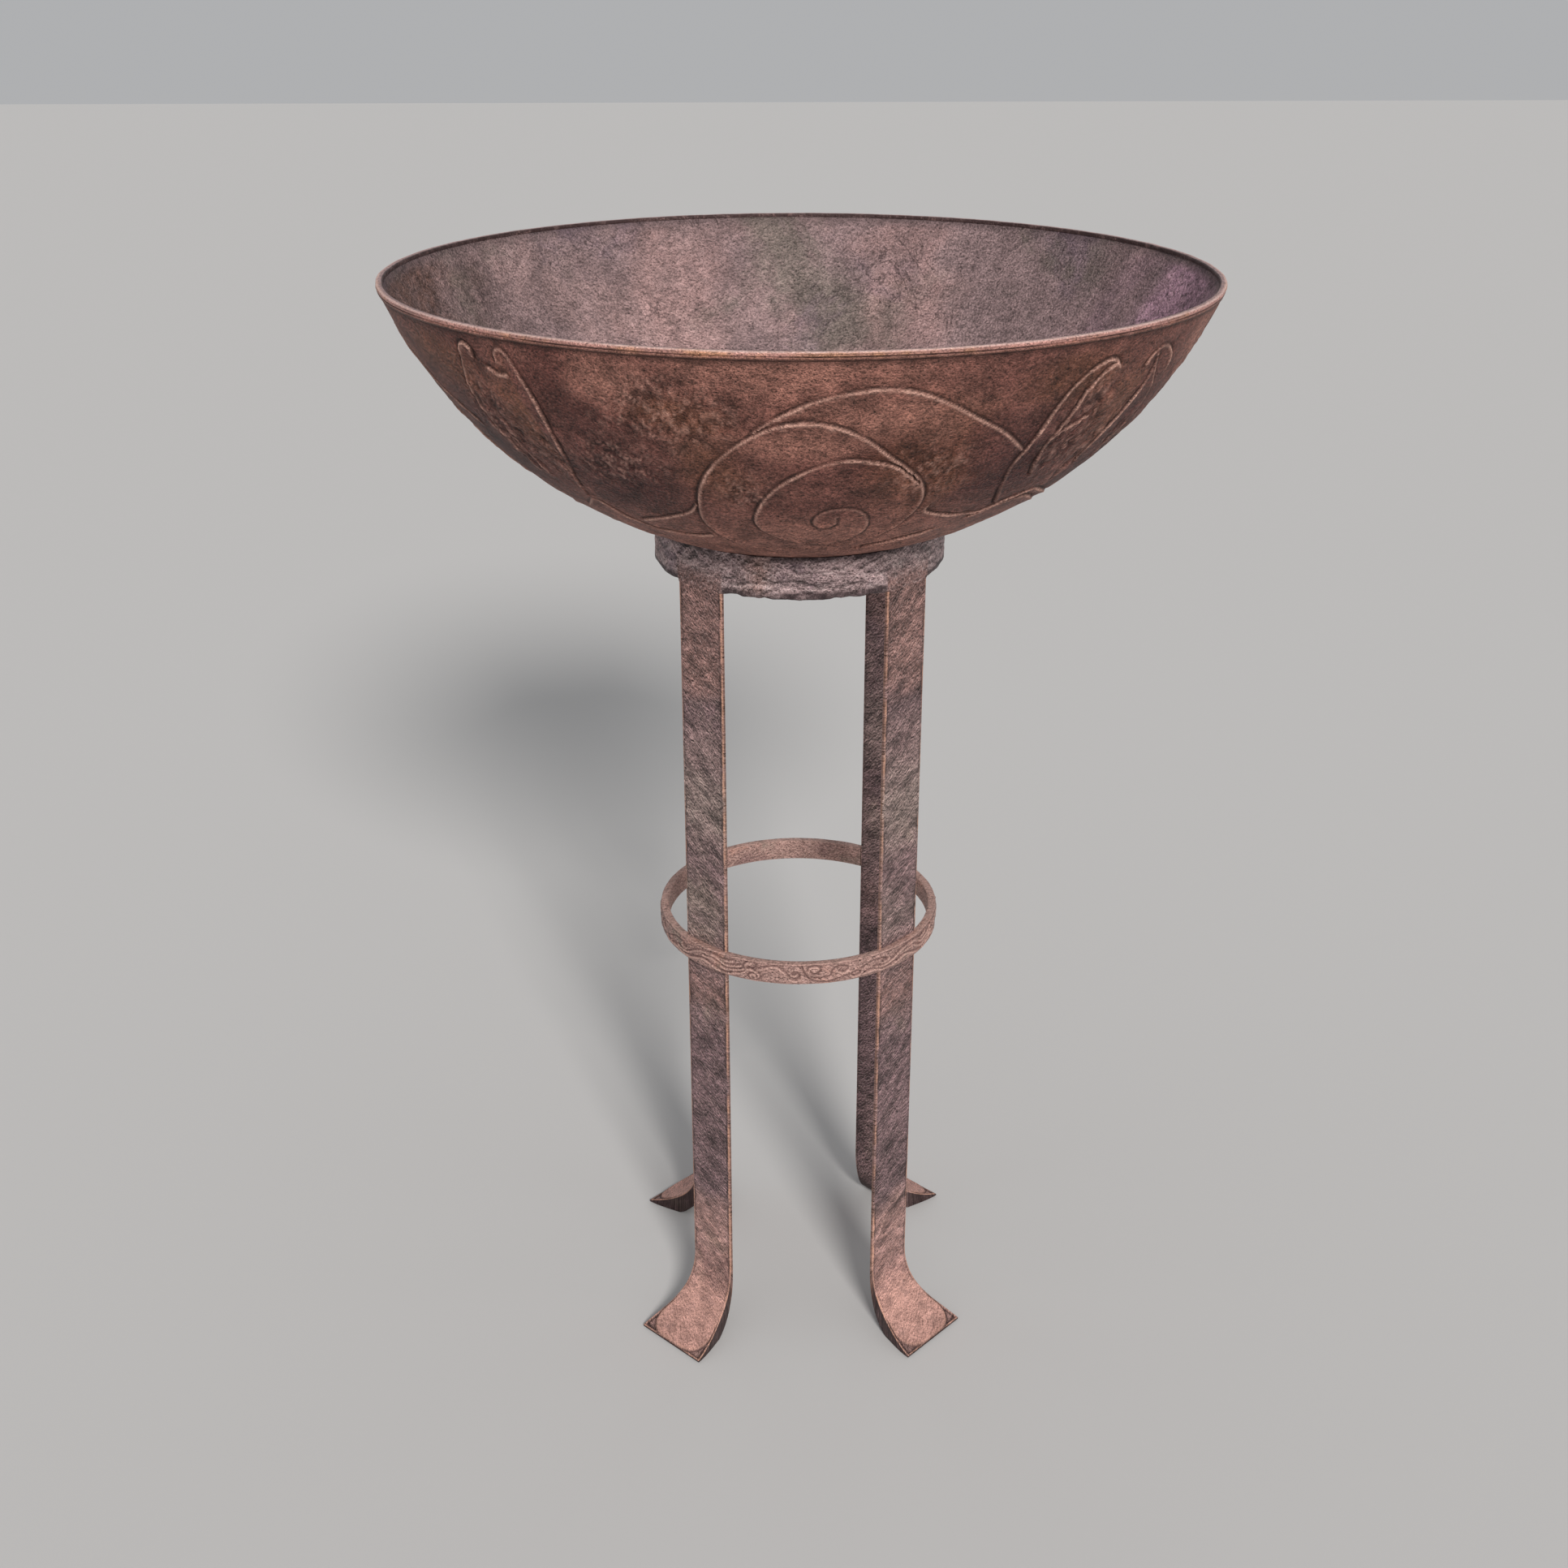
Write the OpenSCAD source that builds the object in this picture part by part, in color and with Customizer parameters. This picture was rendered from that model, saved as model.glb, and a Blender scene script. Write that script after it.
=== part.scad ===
// Standing coal forge: a round fire bowl that rests in a four-legged forged stand.
// Origin at the bottom centre, +Z up, front towards -Y.

/* [Overall] */
// Height from the floor to the top of the rim
overall_height = 805; // [760:1:860]

/* [Bowl] */
// Diameter across the rim
bowl_diameter = 550.8; // [540:0.2:560]
// Half width of the ellipse that the outside of the bowl follows
bowl_half_width = 293.7; // [290:0.1:300]
// Half height of the same ellipse
bowl_half_height = 281.8; // [278:0.1:290]
// Thickness of the bowl's wall
bowl_wall = 3; // [2:0.5:4]
// Height of the band round the rim
band_height = 5; // [4:0.5:8]
// Width of the band's top face
band_width = 4.8; // [4.4:0.1:6]

/* [Collar] */
// Outer radius of the collar that the bowl sits in
collar_radius = 100.6; // [100.4:0.1:104]
// Thickness of the collar
collar_thickness = 12; // [11:0.5:13]
// Height of the collar's lower edge above the floor
collar_bottom = 608.5; // [606:0.5:612]

/* [Legs] */
// Width of the flat bar
leg_width = 40; // [36:1:40]
// Thickness of the flat bar
leg_thickness = 3; // [2.5:0.5:3.5]
// Distance from the middle of the stand to the leg's outer face
leg_distance = 98.3; // [97:0.1:98.3]
// Distance from the middle of the stand to the end of the toe
toe_reach = 145.5; // [140:0.5:155]
// Width of the toe's end
toe_width = 62; // [54:1:66]
// Height at which the foot starts to turn out
foot_rise = 56; // [45:1:70]

/* [Brace ring] */
// Outer radius of the hoop that ties the legs together
brace_radius = 104; // [103:0.5:106]
// Thickness of the hoop
brace_thickness = 6; // [5:0.5:6]
// Height of the hoop's strip
brace_height = 16; // [12:1:24]
// Height of the hoop's lower edge above the floor
brace_bottom = 322.5; // [250:0.5:400]

/* [Air throat and ash gate] */
// Radius of the hole for air and ash
throat_radius = 22; // [18:1:24]
// Distance from the hole's centre to the gate's pivot
pivot_distance = 46; // [45:0.5:48]
// Angle at which the gate is drawn, 0 is shut
gate_angle = 0; // [0:1:75]

/* [Grate] */
// Radius of the grate
grate_radius = 80; // [70:1:90]
// Thickness of the grate
grate_thickness = 8; // [6:1:10]
// Width of a slot in the grate
slot_width = 8; // [6:1:9]

/* [Hidden] */

$fn = 96;
arc_steps = 22;        // straight pieces in a bowl arc
curve_steps = 14;      // straight pieces in a foot curve
seat_gap = 0.3;        // between pieces that lift off or turn
fit_gap = 0.05;        // between pieces that are fixed together

copper = [0.62, 0.40, 0.33];
dark_copper = [0.42, 0.27, 0.24];
mauve_iron = [0.52, 0.43, 0.42];
black_iron = [0.20, 0.19, 0.19];

// Bowl
rim_radius = bowl_diameter / 2;
bowl_centre = overall_height
    + bowl_half_height * sqrt(1 - pow(rim_radius / bowl_half_width, 2));
band_bottom = overall_height - band_height;
band_cap = 2.5;                              // thickness of the band over the lip
lip_top = overall_height - band_cap;
lip_inset = 0.8;                             // how far the lip is set in behind the band
band_proud = 1;                              // how far the band stands out of the bowl
bowl_bottom = bowl_centre - bowl_half_height;

// Collar and stand
collar_inner = collar_radius - collar_thickness;
collar_chamfer = 1.5;
leg_inner = leg_distance - leg_thickness;
lap_height = 23.5;                           // how far a leg is let into the collar
leg_top = collar_bottom + lap_height;
leg_angles = [45, 135, 225, 315];
toe_thickness = 3;
heel_reach = 116;                            // where the sole begins
foot_bend = [13.7, 15];                      // where the foot's upper curve is drawn towards
heel_bend = [5.7, 6];                        // the same for the curve of the heel
heel_share = 0.46;                           // where the heel's curve lets go, as a part of foot_rise
flare_near = [9, 0.5];                       // how the foot spreads: out from the bar, and sideways
flare_far = [19, 5.5];
collar_rivet_height = collar_bottom + lap_height / 2;
collar_rivet_radius = 3;
brace_rivet_height = brace_bottom + brace_height / 2;
brace_rivet_radius = 2.5;
rivet_inset = 0.1;                           // how far a flush head stays under the hoop's face
sink_depth = 1.8;                            // depth of a flush rivet head
sink_spread = 2;                             // how much wider a flush head is than its shank
dome_height = 2.4;
dome_spread = 2.4;                           // how much wider a domed head is than its shank
dome_steps = 6;                              // straight pieces in a dome's quarter circle
past = 1;                                    // how far a cut runs past the face that it opens

// Throat and gate
throat_outer = 40;
throat_drop = 9.1;                           // how far the throat hangs below the bowl's lowest point
throat_bottom = bowl_bottom - throat_drop;
throat_wall = 5;                             // how far the lug for the pivot is let into the throat
lug_radius = 9;
lug_height = 8;
gate_thickness = 3;
gate_top = throat_bottom - seat_gap;
gate_bottom = gate_top - gate_thickness;
gate_disc_radius = throat_radius + 5;
gate_neck = 16;
tail_length = 34;
tail_width = 14;
tab_drop = 18;
pivot_radius = 3;
pivot_head_radius = 6;
pivot_head_height = 2.5;
pivot_dome = 2;                              // height of the pivot's peened end, and how far it spreads
running_gap = 0.05;                          // radial clearance of the gate on its pivot
stop_radius = 3;
stop_depth = 5;                              // how deep the peg is set in the throat
throat_rivet_circle = 31;
throat_rivet_radius = 2.5;
throat_rivet_angles = [30, 150, 270];
bore_length = 30;                            // long enough to run through the throat and the bowl

// Grate
grate_land = 5;                              // width of the bevelled seat under the edge
slot_pitch = 18;
slot_border = 14;
centre_rib = 10;

// Height of the bowl's ellipse at radius r, moved inwards by t
function bowl_height(r, t) =
    bowl_centre - (bowl_half_height - t) * sqrt(1 - pow(r / (bowl_half_width - t), 2));

// Radius of the same ellipse at height z
function bowl_reach(z, t) =
    (bowl_half_width - t) * sqrt(1 - pow((bowl_centre - z) / (bowl_half_height - t), 2));

// Points of the ellipse from radius r1 to radius r2
function bowl_arc(r1, r2, t, steps) = [
    for (i = [0 : steps])
        let (a1 = asin(r1 / (bowl_half_width - t)))
        let (a2 = asin(r2 / (bowl_half_width - t)))
        let (a = a1 + (a2 - a1) * i / steps)
        [(bowl_half_width - t) * sin(a), bowl_centre - (bowl_half_height - t) * cos(a)]
];

// Points of a cubic curve from a to d that leaves towards b and arrives from c
function curve(a, b, c, d, steps) = [
    for (i = [0 : steps])
        let (u = i / steps)
        let (v = 1 - u)
        v * v * v * a + 3 * v * v * u * b + 3 * v * u * u * c + u * u * u * d
];

// The same points in the opposite order
function reversed(points) = [for (i = [len(points) - 1 : -1 : 0]) points[i]];

// A rivet along +X whose flush head ends at x = grip and whose domed head lies below x = 0
module rivet(radius, grip) {
    dome = [
        for (i = [0 : dome_steps])
            let (a = 90 * i / dome_steps)
            [(radius + dome_spread) * cos(a), -dome_height * sin(a)]
    ];
    section = concat(
        [[0, grip], [radius + sink_spread, grip], [radius, grip - sink_depth], [radius, 0]],
        dome
    );
    rotate([0, 90, 0])
        rotate_extrude() polygon(section);
}

// A rivet along +X, hammered flush at x = 0 and at x = grip
module flush_rivet(radius, grip) {
    section = [
        [0, grip], [radius + sink_spread, grip], [radius, grip - sink_depth],
        [radius, sink_depth], [radius + sink_spread, 0], [0, 0]
    ];
    rotate([0, 90, 0])
        rotate_extrude() polygon(section);
}

// The hole for a rivet's shank and for its flush head, whose face is at x = grip
module rivet_hole(radius, grip, depth) {
    rotate([0, 90, 0]) {
        translate([0, 0, grip - depth])
            cylinder(r = radius + fit_gap, h = depth + past);
        translate([0, 0, grip - sink_depth])
            cylinder(r1 = radius + fit_gap, r2 = radius + sink_spread + fit_gap, h = sink_depth);
        translate([0, 0, grip])
            cylinder(r = radius + sink_spread + fit_gap, h = 10 * past);
    }
}

module fire_bowl() {
    lip_radius = bowl_reach(band_bottom, 0) - lip_inset;
    section = concat(
        bowl_arc(throat_radius, bowl_reach(band_bottom, 0), 0, arc_steps),
        [[lip_radius, band_bottom], [lip_radius, lip_top]],
        reversed(bowl_arc(throat_radius, bowl_reach(lip_top, bowl_wall), bowl_wall, arc_steps))
    );
    color(dark_copper)
    difference() {
        rotate_extrude() polygon(section);
        for (a = throat_rivet_angles)
            rotate([0, 0, a])
                translate([throat_rivet_circle, 0, throat_bottom])
                    cylinder(r = throat_rivet_radius + fit_gap, h = bore_length);
    }
}

module rim_band() {
    lip_radius = bowl_reach(band_bottom, 0) - lip_inset + fit_gap;
    foot_radius = bowl_reach(band_bottom, 0) + band_proud;
    inner_radius = rim_radius - band_width;
    section = [
        [lip_radius, band_bottom + fit_gap], [foot_radius, band_bottom + fit_gap],
        [rim_radius, overall_height], [inner_radius, overall_height],
        [inner_radius, lip_top + fit_gap], [lip_radius, lip_top + fit_gap]
    ];
    color(copper)
    rotate_extrude() polygon(section);
}

module air_throat() {
    section = concat(
        [[throat_radius, throat_bottom], [throat_outer, throat_bottom]],
        [for (p = reversed(bowl_arc(throat_radius, throat_outer, 0, 4))) [p[0], p[1] - fit_gap]]
    );
    color(black_iron)
    difference() {
        union() {
            rotate_extrude() polygon(section);
            difference() {
                union() {
                    translate([0, pivot_distance, throat_bottom])
                        cylinder(r = lug_radius, h = lug_height);
                    translate([-lug_radius, throat_outer - throat_wall - past, throat_bottom])
                        cube([
                            2 * lug_radius, pivot_distance - throat_outer + throat_wall + past, lug_height
                        ]);
                }
                translate([0, 0, throat_bottom - past])
                    cylinder(r = throat_outer - throat_wall, h = lug_height + 2 * past);
            }
        }
        translate([0, pivot_distance, throat_bottom - past])
            cylinder(r = pivot_radius + fit_gap, h = lug_height + 2 * past);
        translate([-gate_disc_radius - stop_radius - seat_gap, 0, throat_bottom - past])
            cylinder(r = stop_radius + fit_gap, h = stop_depth + past + fit_gap);
        for (a = throat_rivet_angles)
            rotate([0, 0, a])
                translate([throat_rivet_circle, 0, throat_bottom]) {
                    translate([0, 0, -past])
                        cylinder(r = throat_rivet_radius + fit_gap, h = bore_length);
                    translate([0, 0, -past])
                        cylinder(r = throat_rivet_radius + sink_spread + fit_gap, h = past);
                    cylinder(
                        r1 = throat_rivet_radius + sink_spread + fit_gap,
                        r2 = throat_rivet_radius + fit_gap,
                        h = sink_depth
                    );
                }
    }
}

module throat_rivets() {
    head_edge = throat_rivet_circle + throat_rivet_radius + dome_spread;
    head_base = bowl_height(head_edge, bowl_wall) + fit_gap;
    color(black_iron)
    for (a = throat_rivet_angles)
        rotate([0, 0, a])
            translate([throat_rivet_circle, 0, head_base])
                rotate([0, 90, 0])
                    rivet(throat_rivet_radius, head_base - throat_bottom);
}

module gate_pivot() {
    shank_top = throat_bottom + lug_height;
    section = concat(
        [
            [0, gate_bottom - seat_gap - pivot_head_height],
            [pivot_head_radius - 1, gate_bottom - seat_gap - pivot_head_height],
            [pivot_head_radius, gate_bottom - seat_gap - pivot_head_height + 1],
            [pivot_head_radius, gate_bottom - seat_gap],
            [pivot_radius, gate_bottom - seat_gap],
            [pivot_radius, shank_top + fit_gap]
        ],
        [
            for (i = [0 : dome_steps])
                let (a = 90 * i / dome_steps)
                [
                    (pivot_radius + pivot_dome) * cos(a),
                    shank_top + fit_gap + pivot_dome * sin(a)
                ]
        ]
    );
    color(mauve_iron)
    translate([0, pivot_distance, 0])
        rotate_extrude() polygon(section);
}

module gate_stop() {
    color(mauve_iron)
    translate([-gate_disc_radius - stop_radius - seat_gap, 0, gate_bottom])
        cylinder(r = stop_radius, h = throat_bottom + stop_depth - gate_bottom);
}

module ash_gate() {
    tail_end = pivot_distance + tail_length;
    color(black_iron)
    translate([0, pivot_distance, 0])
        rotate([0, 0, gate_angle])
            translate([0, -pivot_distance, 0])
                difference() {
                    union() {
                        translate([0, 0, gate_bottom])
                            cylinder(r = gate_disc_radius, h = gate_thickness);
                        translate([-gate_neck / 2, 0, gate_bottom])
                            cube([gate_neck, pivot_distance, gate_thickness]);
                        translate([0, pivot_distance, gate_bottom])
                            cylinder(r = lug_radius, h = gate_thickness);
                        translate([-tail_width / 2, pivot_distance, gate_bottom])
                            cube([tail_width, tail_length, gate_thickness]);
                        translate([-tail_width / 2, tail_end - gate_thickness, gate_bottom - tab_drop])
                            cube([tail_width, gate_thickness, tab_drop + gate_thickness]);
                    }
                    translate([0, pivot_distance, gate_bottom - past])
                        cylinder(r = pivot_radius + running_gap, h = gate_thickness + 2 * past);
                }
}

module fire_grate() {
    land_radius = grate_radius - grate_land;
    base = bowl_height(land_radius, bowl_wall) + seat_gap;
    edge = bowl_height(grate_radius, bowl_wall) + seat_gap;
    last = floor((grate_radius - slot_border - slot_width) / slot_pitch);
    section = [
        [0, base], [land_radius, base], [grate_radius, edge],
        [grate_radius, base + grate_thickness - 1], [grate_radius - 1, base + grate_thickness],
        [0, base + grate_thickness]
    ];
    color(black_iron)
    difference() {
        rotate_extrude() polygon(section);
        for (i = [-last : last])
            for (side = [-1, 1]) {
                x = i * slot_pitch;
                near = (centre_rib + slot_width) / 2;
                far = sqrt(pow(grate_radius - slot_border, 2) - x * x) - slot_width / 2;
                middle = side * (near + far) / 2;
                translate([x, middle, base - past]) {
                    translate([-slot_width / 2, -(far - near) / 2, 0])
                        cube([slot_width, far - near, grate_thickness + 2 * past]);
                    for (end = [-1, 1])
                        translate([0, end * (far - near) / 2, 0])
                            cylinder(r = slot_width / 2, h = grate_thickness + 2 * past);
                }
            }
    }
}

module collar_ring() {
    section = concat(
        [[collar_inner, collar_bottom], [collar_radius - collar_chamfer, collar_bottom]],
        [[collar_radius, collar_bottom + collar_chamfer]],
        [
            for (p = reversed(bowl_arc(collar_inner, collar_radius, 0, 4)))
                [p[0], p[1] - seat_gap]
        ]
    );
    color(mauve_iron)
    difference() {
        rotate_extrude() polygon(section);
        for (a = leg_angles)
            rotate([0, 0, a]) {
                translate([leg_inner - fit_gap, -leg_width / 2 - fit_gap, collar_bottom - past])
                    cube([collar_thickness, leg_width + 2 * fit_gap, lap_height + past + fit_gap]);
                translate([0, 0, collar_rivet_height])
                    rotate([0, 90, 0])
                        cylinder(r = collar_rivet_radius + fit_gap, h = collar_radius + past);
            }
    }
}

// A flat bar let into the collar, with its foot turned out along +X
module leg() {
    outer_curve = curve(
        [leg_distance, foot_rise], [leg_distance, foot_rise / 2],
        [leg_distance + foot_bend[0], foot_bend[1]], [toe_reach, toe_thickness], curve_steps
    );
    inner_curve = curve(
        [leg_inner, foot_rise], [leg_inner, foot_rise * heel_share],
        [leg_inner + heel_bend[0], heel_bend[1]], [heel_reach, 0], curve_steps
    );
    side = concat(
        [[leg_distance, leg_top]], outer_curve,
        [[toe_reach, 0]], reversed(inner_curve),
        [[leg_inner, leg_top]]
    );
    edge = [leg_distance, leg_width / 2];
    flare = curve(
        edge + [past, 0], edge + flare_near, edge + flare_far,
        [toe_reach + past, toe_width / 2], curve_steps
    );
    plan = concat(
        [[leg_inner - past, leg_width / 2]], flare,
        [for (p = reversed(flare)) [p[0], -p[1]]],
        [[leg_inner - past, -leg_width / 2]]
    );
    difference() {
        intersection() {
            rotate([90, 0, 0])
                linear_extrude(height = 2 * toe_width, center = true) polygon(side);
            translate([0, 0, -past])
                linear_extrude(height = leg_top + 2 * past) polygon(plan);
        }
        translate([0, 0, collar_rivet_height])
            rivet_hole(collar_rivet_radius, leg_distance, leg_thickness + past);
        translate([leg_distance + leg_inner, 0, brace_rivet_height])
            rotate([0, 0, 180])
                rivet_hole(brace_rivet_radius, leg_distance, leg_thickness + past);
    }
}

module leg_back_right() {
    color(mauve_iron) rotate([0, 0, leg_angles[0]]) leg();
}

module leg_back_left() {
    color(mauve_iron) rotate([0, 0, leg_angles[1]]) leg();
}

module leg_front_left() {
    color(mauve_iron) rotate([0, 0, leg_angles[2]]) leg();
}

module leg_front_right() {
    color(mauve_iron) rotate([0, 0, leg_angles[3]]) leg();
}

module brace_ring() {
    color(copper)
    difference() {
        translate([0, 0, brace_bottom])
            cylinder(r = brace_radius, h = brace_height);
        translate([0, 0, brace_bottom - past])
            cylinder(r = brace_radius - brace_thickness, h = brace_height + 2 * past);
        for (a = leg_angles)
            rotate([0, 0, a]) {
                translate([0, -leg_width / 2 - fit_gap, brace_bottom - past])
                    cube([leg_distance + fit_gap, leg_width + 2 * fit_gap, brace_height + 2 * past]);
                translate([0, 0, brace_rivet_height])
                    rivet_hole(brace_rivet_radius, brace_radius - rivet_inset, brace_thickness + past);
            }
    }
}

module collar_rivets() {
    head_base = sqrt(pow(collar_inner, 2) - pow(collar_rivet_radius + dome_spread, 2)) - fit_gap;
    color(mauve_iron)
    for (a = leg_angles)
        rotate([0, 0, a])
            translate([head_base, 0, collar_rivet_height])
                rivet(collar_rivet_radius, leg_distance - head_base);
}

module brace_rivets() {
    color(copper)
    for (a = leg_angles)
        rotate([0, 0, a])
            translate([leg_inner, 0, brace_rivet_height])
                flush_rivet(brace_rivet_radius, brace_radius - rivet_inset - leg_inner);
}

fire_bowl();
rim_band();
air_throat();
throat_rivets();
gate_pivot();
gate_stop();
fire_grate();
ash_gate();
collar_ring();
leg_front_left();
leg_front_right();
leg_back_left();
leg_back_right();
brace_ring();
collar_rivets();
brace_rivets();
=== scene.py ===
import math

import bmesh
import bpy
from mathutils import Matrix, Vector, kdtree, noise


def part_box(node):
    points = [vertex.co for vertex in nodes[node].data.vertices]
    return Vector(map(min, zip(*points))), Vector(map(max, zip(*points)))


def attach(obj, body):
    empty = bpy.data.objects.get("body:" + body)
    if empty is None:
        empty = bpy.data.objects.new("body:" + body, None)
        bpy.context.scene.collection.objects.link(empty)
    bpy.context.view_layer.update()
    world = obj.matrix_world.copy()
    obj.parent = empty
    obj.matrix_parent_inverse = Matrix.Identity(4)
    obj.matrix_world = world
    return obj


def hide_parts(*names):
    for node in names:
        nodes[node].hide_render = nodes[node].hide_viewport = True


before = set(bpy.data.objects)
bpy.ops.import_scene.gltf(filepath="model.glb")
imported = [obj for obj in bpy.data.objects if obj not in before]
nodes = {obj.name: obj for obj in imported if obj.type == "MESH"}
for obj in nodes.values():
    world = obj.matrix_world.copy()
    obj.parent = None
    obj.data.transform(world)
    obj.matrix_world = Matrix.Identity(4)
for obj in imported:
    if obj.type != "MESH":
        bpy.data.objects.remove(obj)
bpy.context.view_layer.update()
print("frame loaded:", len(nodes), "nodes")

millimetre = 0.001
legAngles = {
    "leg_back_right": 45,
    "leg_back_left": 135,
    "leg_front_left": 225,
    "leg_front_right": 315,
}


# small tools

def smooth(low, high, value):
    # 0 below low, 1 above high, eased between
    t = min(1.0, max(0.0, (value - low) / (high - low)))
    return t * t * (3 - 2 * t)


def bump(value, centre, width):
    # a soft hill one unit tall
    return math.exp(-(((value - centre) / width) ** 2))


def noiseAt(x, y, z, size, seed=0.0):
    # signed noise whose lumps are about "size" across
    return noise.noise(Vector((x / size + seed, y / size - seed, z / size + 2 * seed)))


def lumps(x, y, z, size, seed=0.0, octaves=3):
    # layered noise, coarse to fine
    total = 0.0
    strength = 1.0
    for step in range(octaves):
        total += strength * noiseAt(x, y, z, size / 2 ** step, seed + 7.3 * step)
        strength *= 0.5
    return total


def levelAt(degrees):
    # the level direction at an angle round from +X
    turn = math.radians(degrees)
    return Vector((math.cos(turn), math.sin(turn), 0))


def awayFromAxis(place):
    # a point's radius, and the level direction out to it
    radius = math.hypot(place.x, place.y)
    return radius, Vector((place.x / radius, place.y / radius, 0))


def splinePoint(a, b, c, d, t):
    # one point of a Catmull-Rom curve between b and c
    return tuple(
        0.5 * (2 * q + (r - p) * t + (2 * p - 5 * q + 4 * r - s) * t * t
               + (3 * q - p - 3 * r + s) * t ** 3)
        for p, q, r, s in zip(a, b, c, d)
    )


def flowing(points, steps=14):
    # a smooth curve through a short list of points
    padded = [points[0]] + list(points) + [points[-1]]
    curve = []
    for i in range(len(points) - 1):
        for step in range(steps):
            curve.append(splinePoint(*padded[i:i + 4], step / steps))
    curve.append(tuple(points[-1]))
    return curve


def bezier(a, b, c, d, t):
    # a point on a cubic curve
    s = 1 - t
    return tuple(
        s ** 3 * p + 3 * s * s * t * q + 3 * s * t * t * r + t ** 3 * w
        for p, q, r, w in zip(a, b, c, d)
    )


def addPiece(name, bm, material, body, replaced, sharpAngle=50):
    # turns a bmesh into a finished piece that rides on its body
    mesh = bpy.data.meshes.new(name)
    bm.to_mesh(mesh)
    bm.free()
    piece = bpy.data.objects.new(name, mesh)
    bpy.context.scene.collection.objects.link(piece)
    mesh.materials.append(material)
    mesh.shade_smooth()
    mesh.set_sharp_from_angle(angle=math.radians(sharpAngle))
    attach(piece, body)
    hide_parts(*replaced)
    return piece


class Marks:
    # numbers kept for each vertex, which the materials read by name
    def __init__(self, *names):
        self.columns = {name: [] for name in names}

    def note(self, **values):
        for name, column in self.columns.items():
            column.append(min(1.0, max(0.0, values.get(name, 0.0))))

    def put(self, mesh):
        for name, column in self.columns.items():
            mesh.attributes.new(name, "FLOAT", "POINT").data.foreach_set("value", column)


def spun(profile, steps):
    # a closed profile of (radius, height) turned all the way round
    bm = bmesh.new()
    ring = [bm.verts.new((radius, 0, height)) for radius, height in profile]
    edges = [bm.edges.new((ring[i], ring[(i + 1) % len(ring)])) for i in range(len(ring))]
    bmesh.ops.spin(
        bm, geom=ring + edges, axis=(0, 0, 1), cent=(0, 0, 0),
        angle=2 * math.pi, steps=steps, use_merge=True, use_duplicate=False,
    )
    bmesh.ops.remove_doubles(bm, verts=bm.verts, dist=1e-6)
    bmesh.ops.recalc_face_normals(bm, faces=bm.faces)
    return bm


# shader tools

class Wire:
    # a socket that can be used in ordinary sums
    def __init__(self, paint, socket):
        self.paint = paint
        self.socket = socket

    def sum(self, operation, first, second):
        return self.paint.add("ShaderNodeMath", {"operation": operation}, {0: first, 1: second})

    def __add__(self, other):
        return self.sum("ADD", self, other)

    def __radd__(self, other):
        return self.sum("ADD", other, self)

    def __sub__(self, other):
        return self.sum("SUBTRACT", self, other)

    def __rsub__(self, other):
        return self.sum("SUBTRACT", other, self)

    def __mul__(self, other):
        return self.sum("MULTIPLY", self, other)

    def __rmul__(self, other):
        return self.sum("MULTIPLY", other, self)


class Paint:
    # a material and the nodes in it
    def __init__(self, name):
        self.material = bpy.data.materials.new(name)
        self.material.use_nodes = True
        self.tree = self.material.node_tree
        self.shader = self.tree.nodes["Principled BSDF"]
        self.place = self.add("ShaderNodeTexCoord", {}, {}, "Object")

    def add(self, kind, settings, sockets, output=0):
        node = self.tree.nodes.new(kind)
        for key, value in settings.items():
            if key == "stops":
                while len(node.color_ramp.elements) < len(value):
                    node.color_ramp.elements.new(0.5)
                for element, (position, colour) in zip(node.color_ramp.elements, value):
                    element.position = position
                    element.color = (*colour, 1)
            else:
                setattr(node, key, value)
        for key, value in sockets.items():
            self.feed(node.inputs[key], value)
        return Wire(self, node.outputs[output])

    def feed(self, target, value):
        if isinstance(value, Wire):
            self.tree.links.new(value.socket, target)
        elif isinstance(value, tuple) and len(value) == 3 and target.type == "RGBA":
            target.default_value = (*value, 1)
        else:
            target.default_value = value

    def set(self, name, value):
        self.feed(self.shader.inputs[name], value)

    def noise(self, scale, detail=4, roughness=0.55, distortion=0.0, place=None):
        return self.add(
            "ShaderNodeTexNoise", {},
            {"Vector": place or self.place, "Scale": scale, "Detail": detail,
             "Roughness": roughness, "Distortion": distortion},
        )

    def moved(self, turn=(0, 0, 0), stretch=(1, 1, 1), shift=(0, 0, 0)):
        return self.add(
            "ShaderNodeMapping", {},
            {"Vector": self.place, "Rotation": turn, "Scale": stretch, "Location": shift},
        )

    def strokes(self, length, width, low=0.0):
        # coordinates stretched into strokes that lean across a bar, taken a little lower down if asked
        return self.add(
            "ShaderNodeMapping", {"vector_type": "TEXTURE"},
            {"Vector": self.add("ShaderNodeTexCoord", {}, {}, "UV"), "Location": (0, low, 0),
             "Rotation": (0, 0, math.radians(-45)), "Scale": (length, width, 1)},
        )

    def step(self, value, low, high):
        return self.add(
            "ShaderNodeMapRange", {"interpolation_type": "SMOOTHSTEP"},
            {"Value": value, "From Min": low, "From Max": high},
        )

    def clamped(self, value):
        return self.add("ShaderNodeClamp", {}, {"Value": value})

    def mix(self, factor, first, second, blend="MIX"):
        return self.add(
            "ShaderNodeMix", {"data_type": "RGBA", "blend_type": blend},
            {0: factor, 6: first, 7: second}, 2,
        )

    def attribute(self, name):
        return self.add("ShaderNodeAttribute", {"attribute_name": name}, {}, "Fac")

    def height(self, value, depth):
        # a bump of "depth" metres, which feeds the normal
        bumped = self.add("ShaderNodeBump", {}, {"Height": value, "Distance": depth, "Strength": 1.0})
        self.set("Normal", bumped)


# colours

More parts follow.
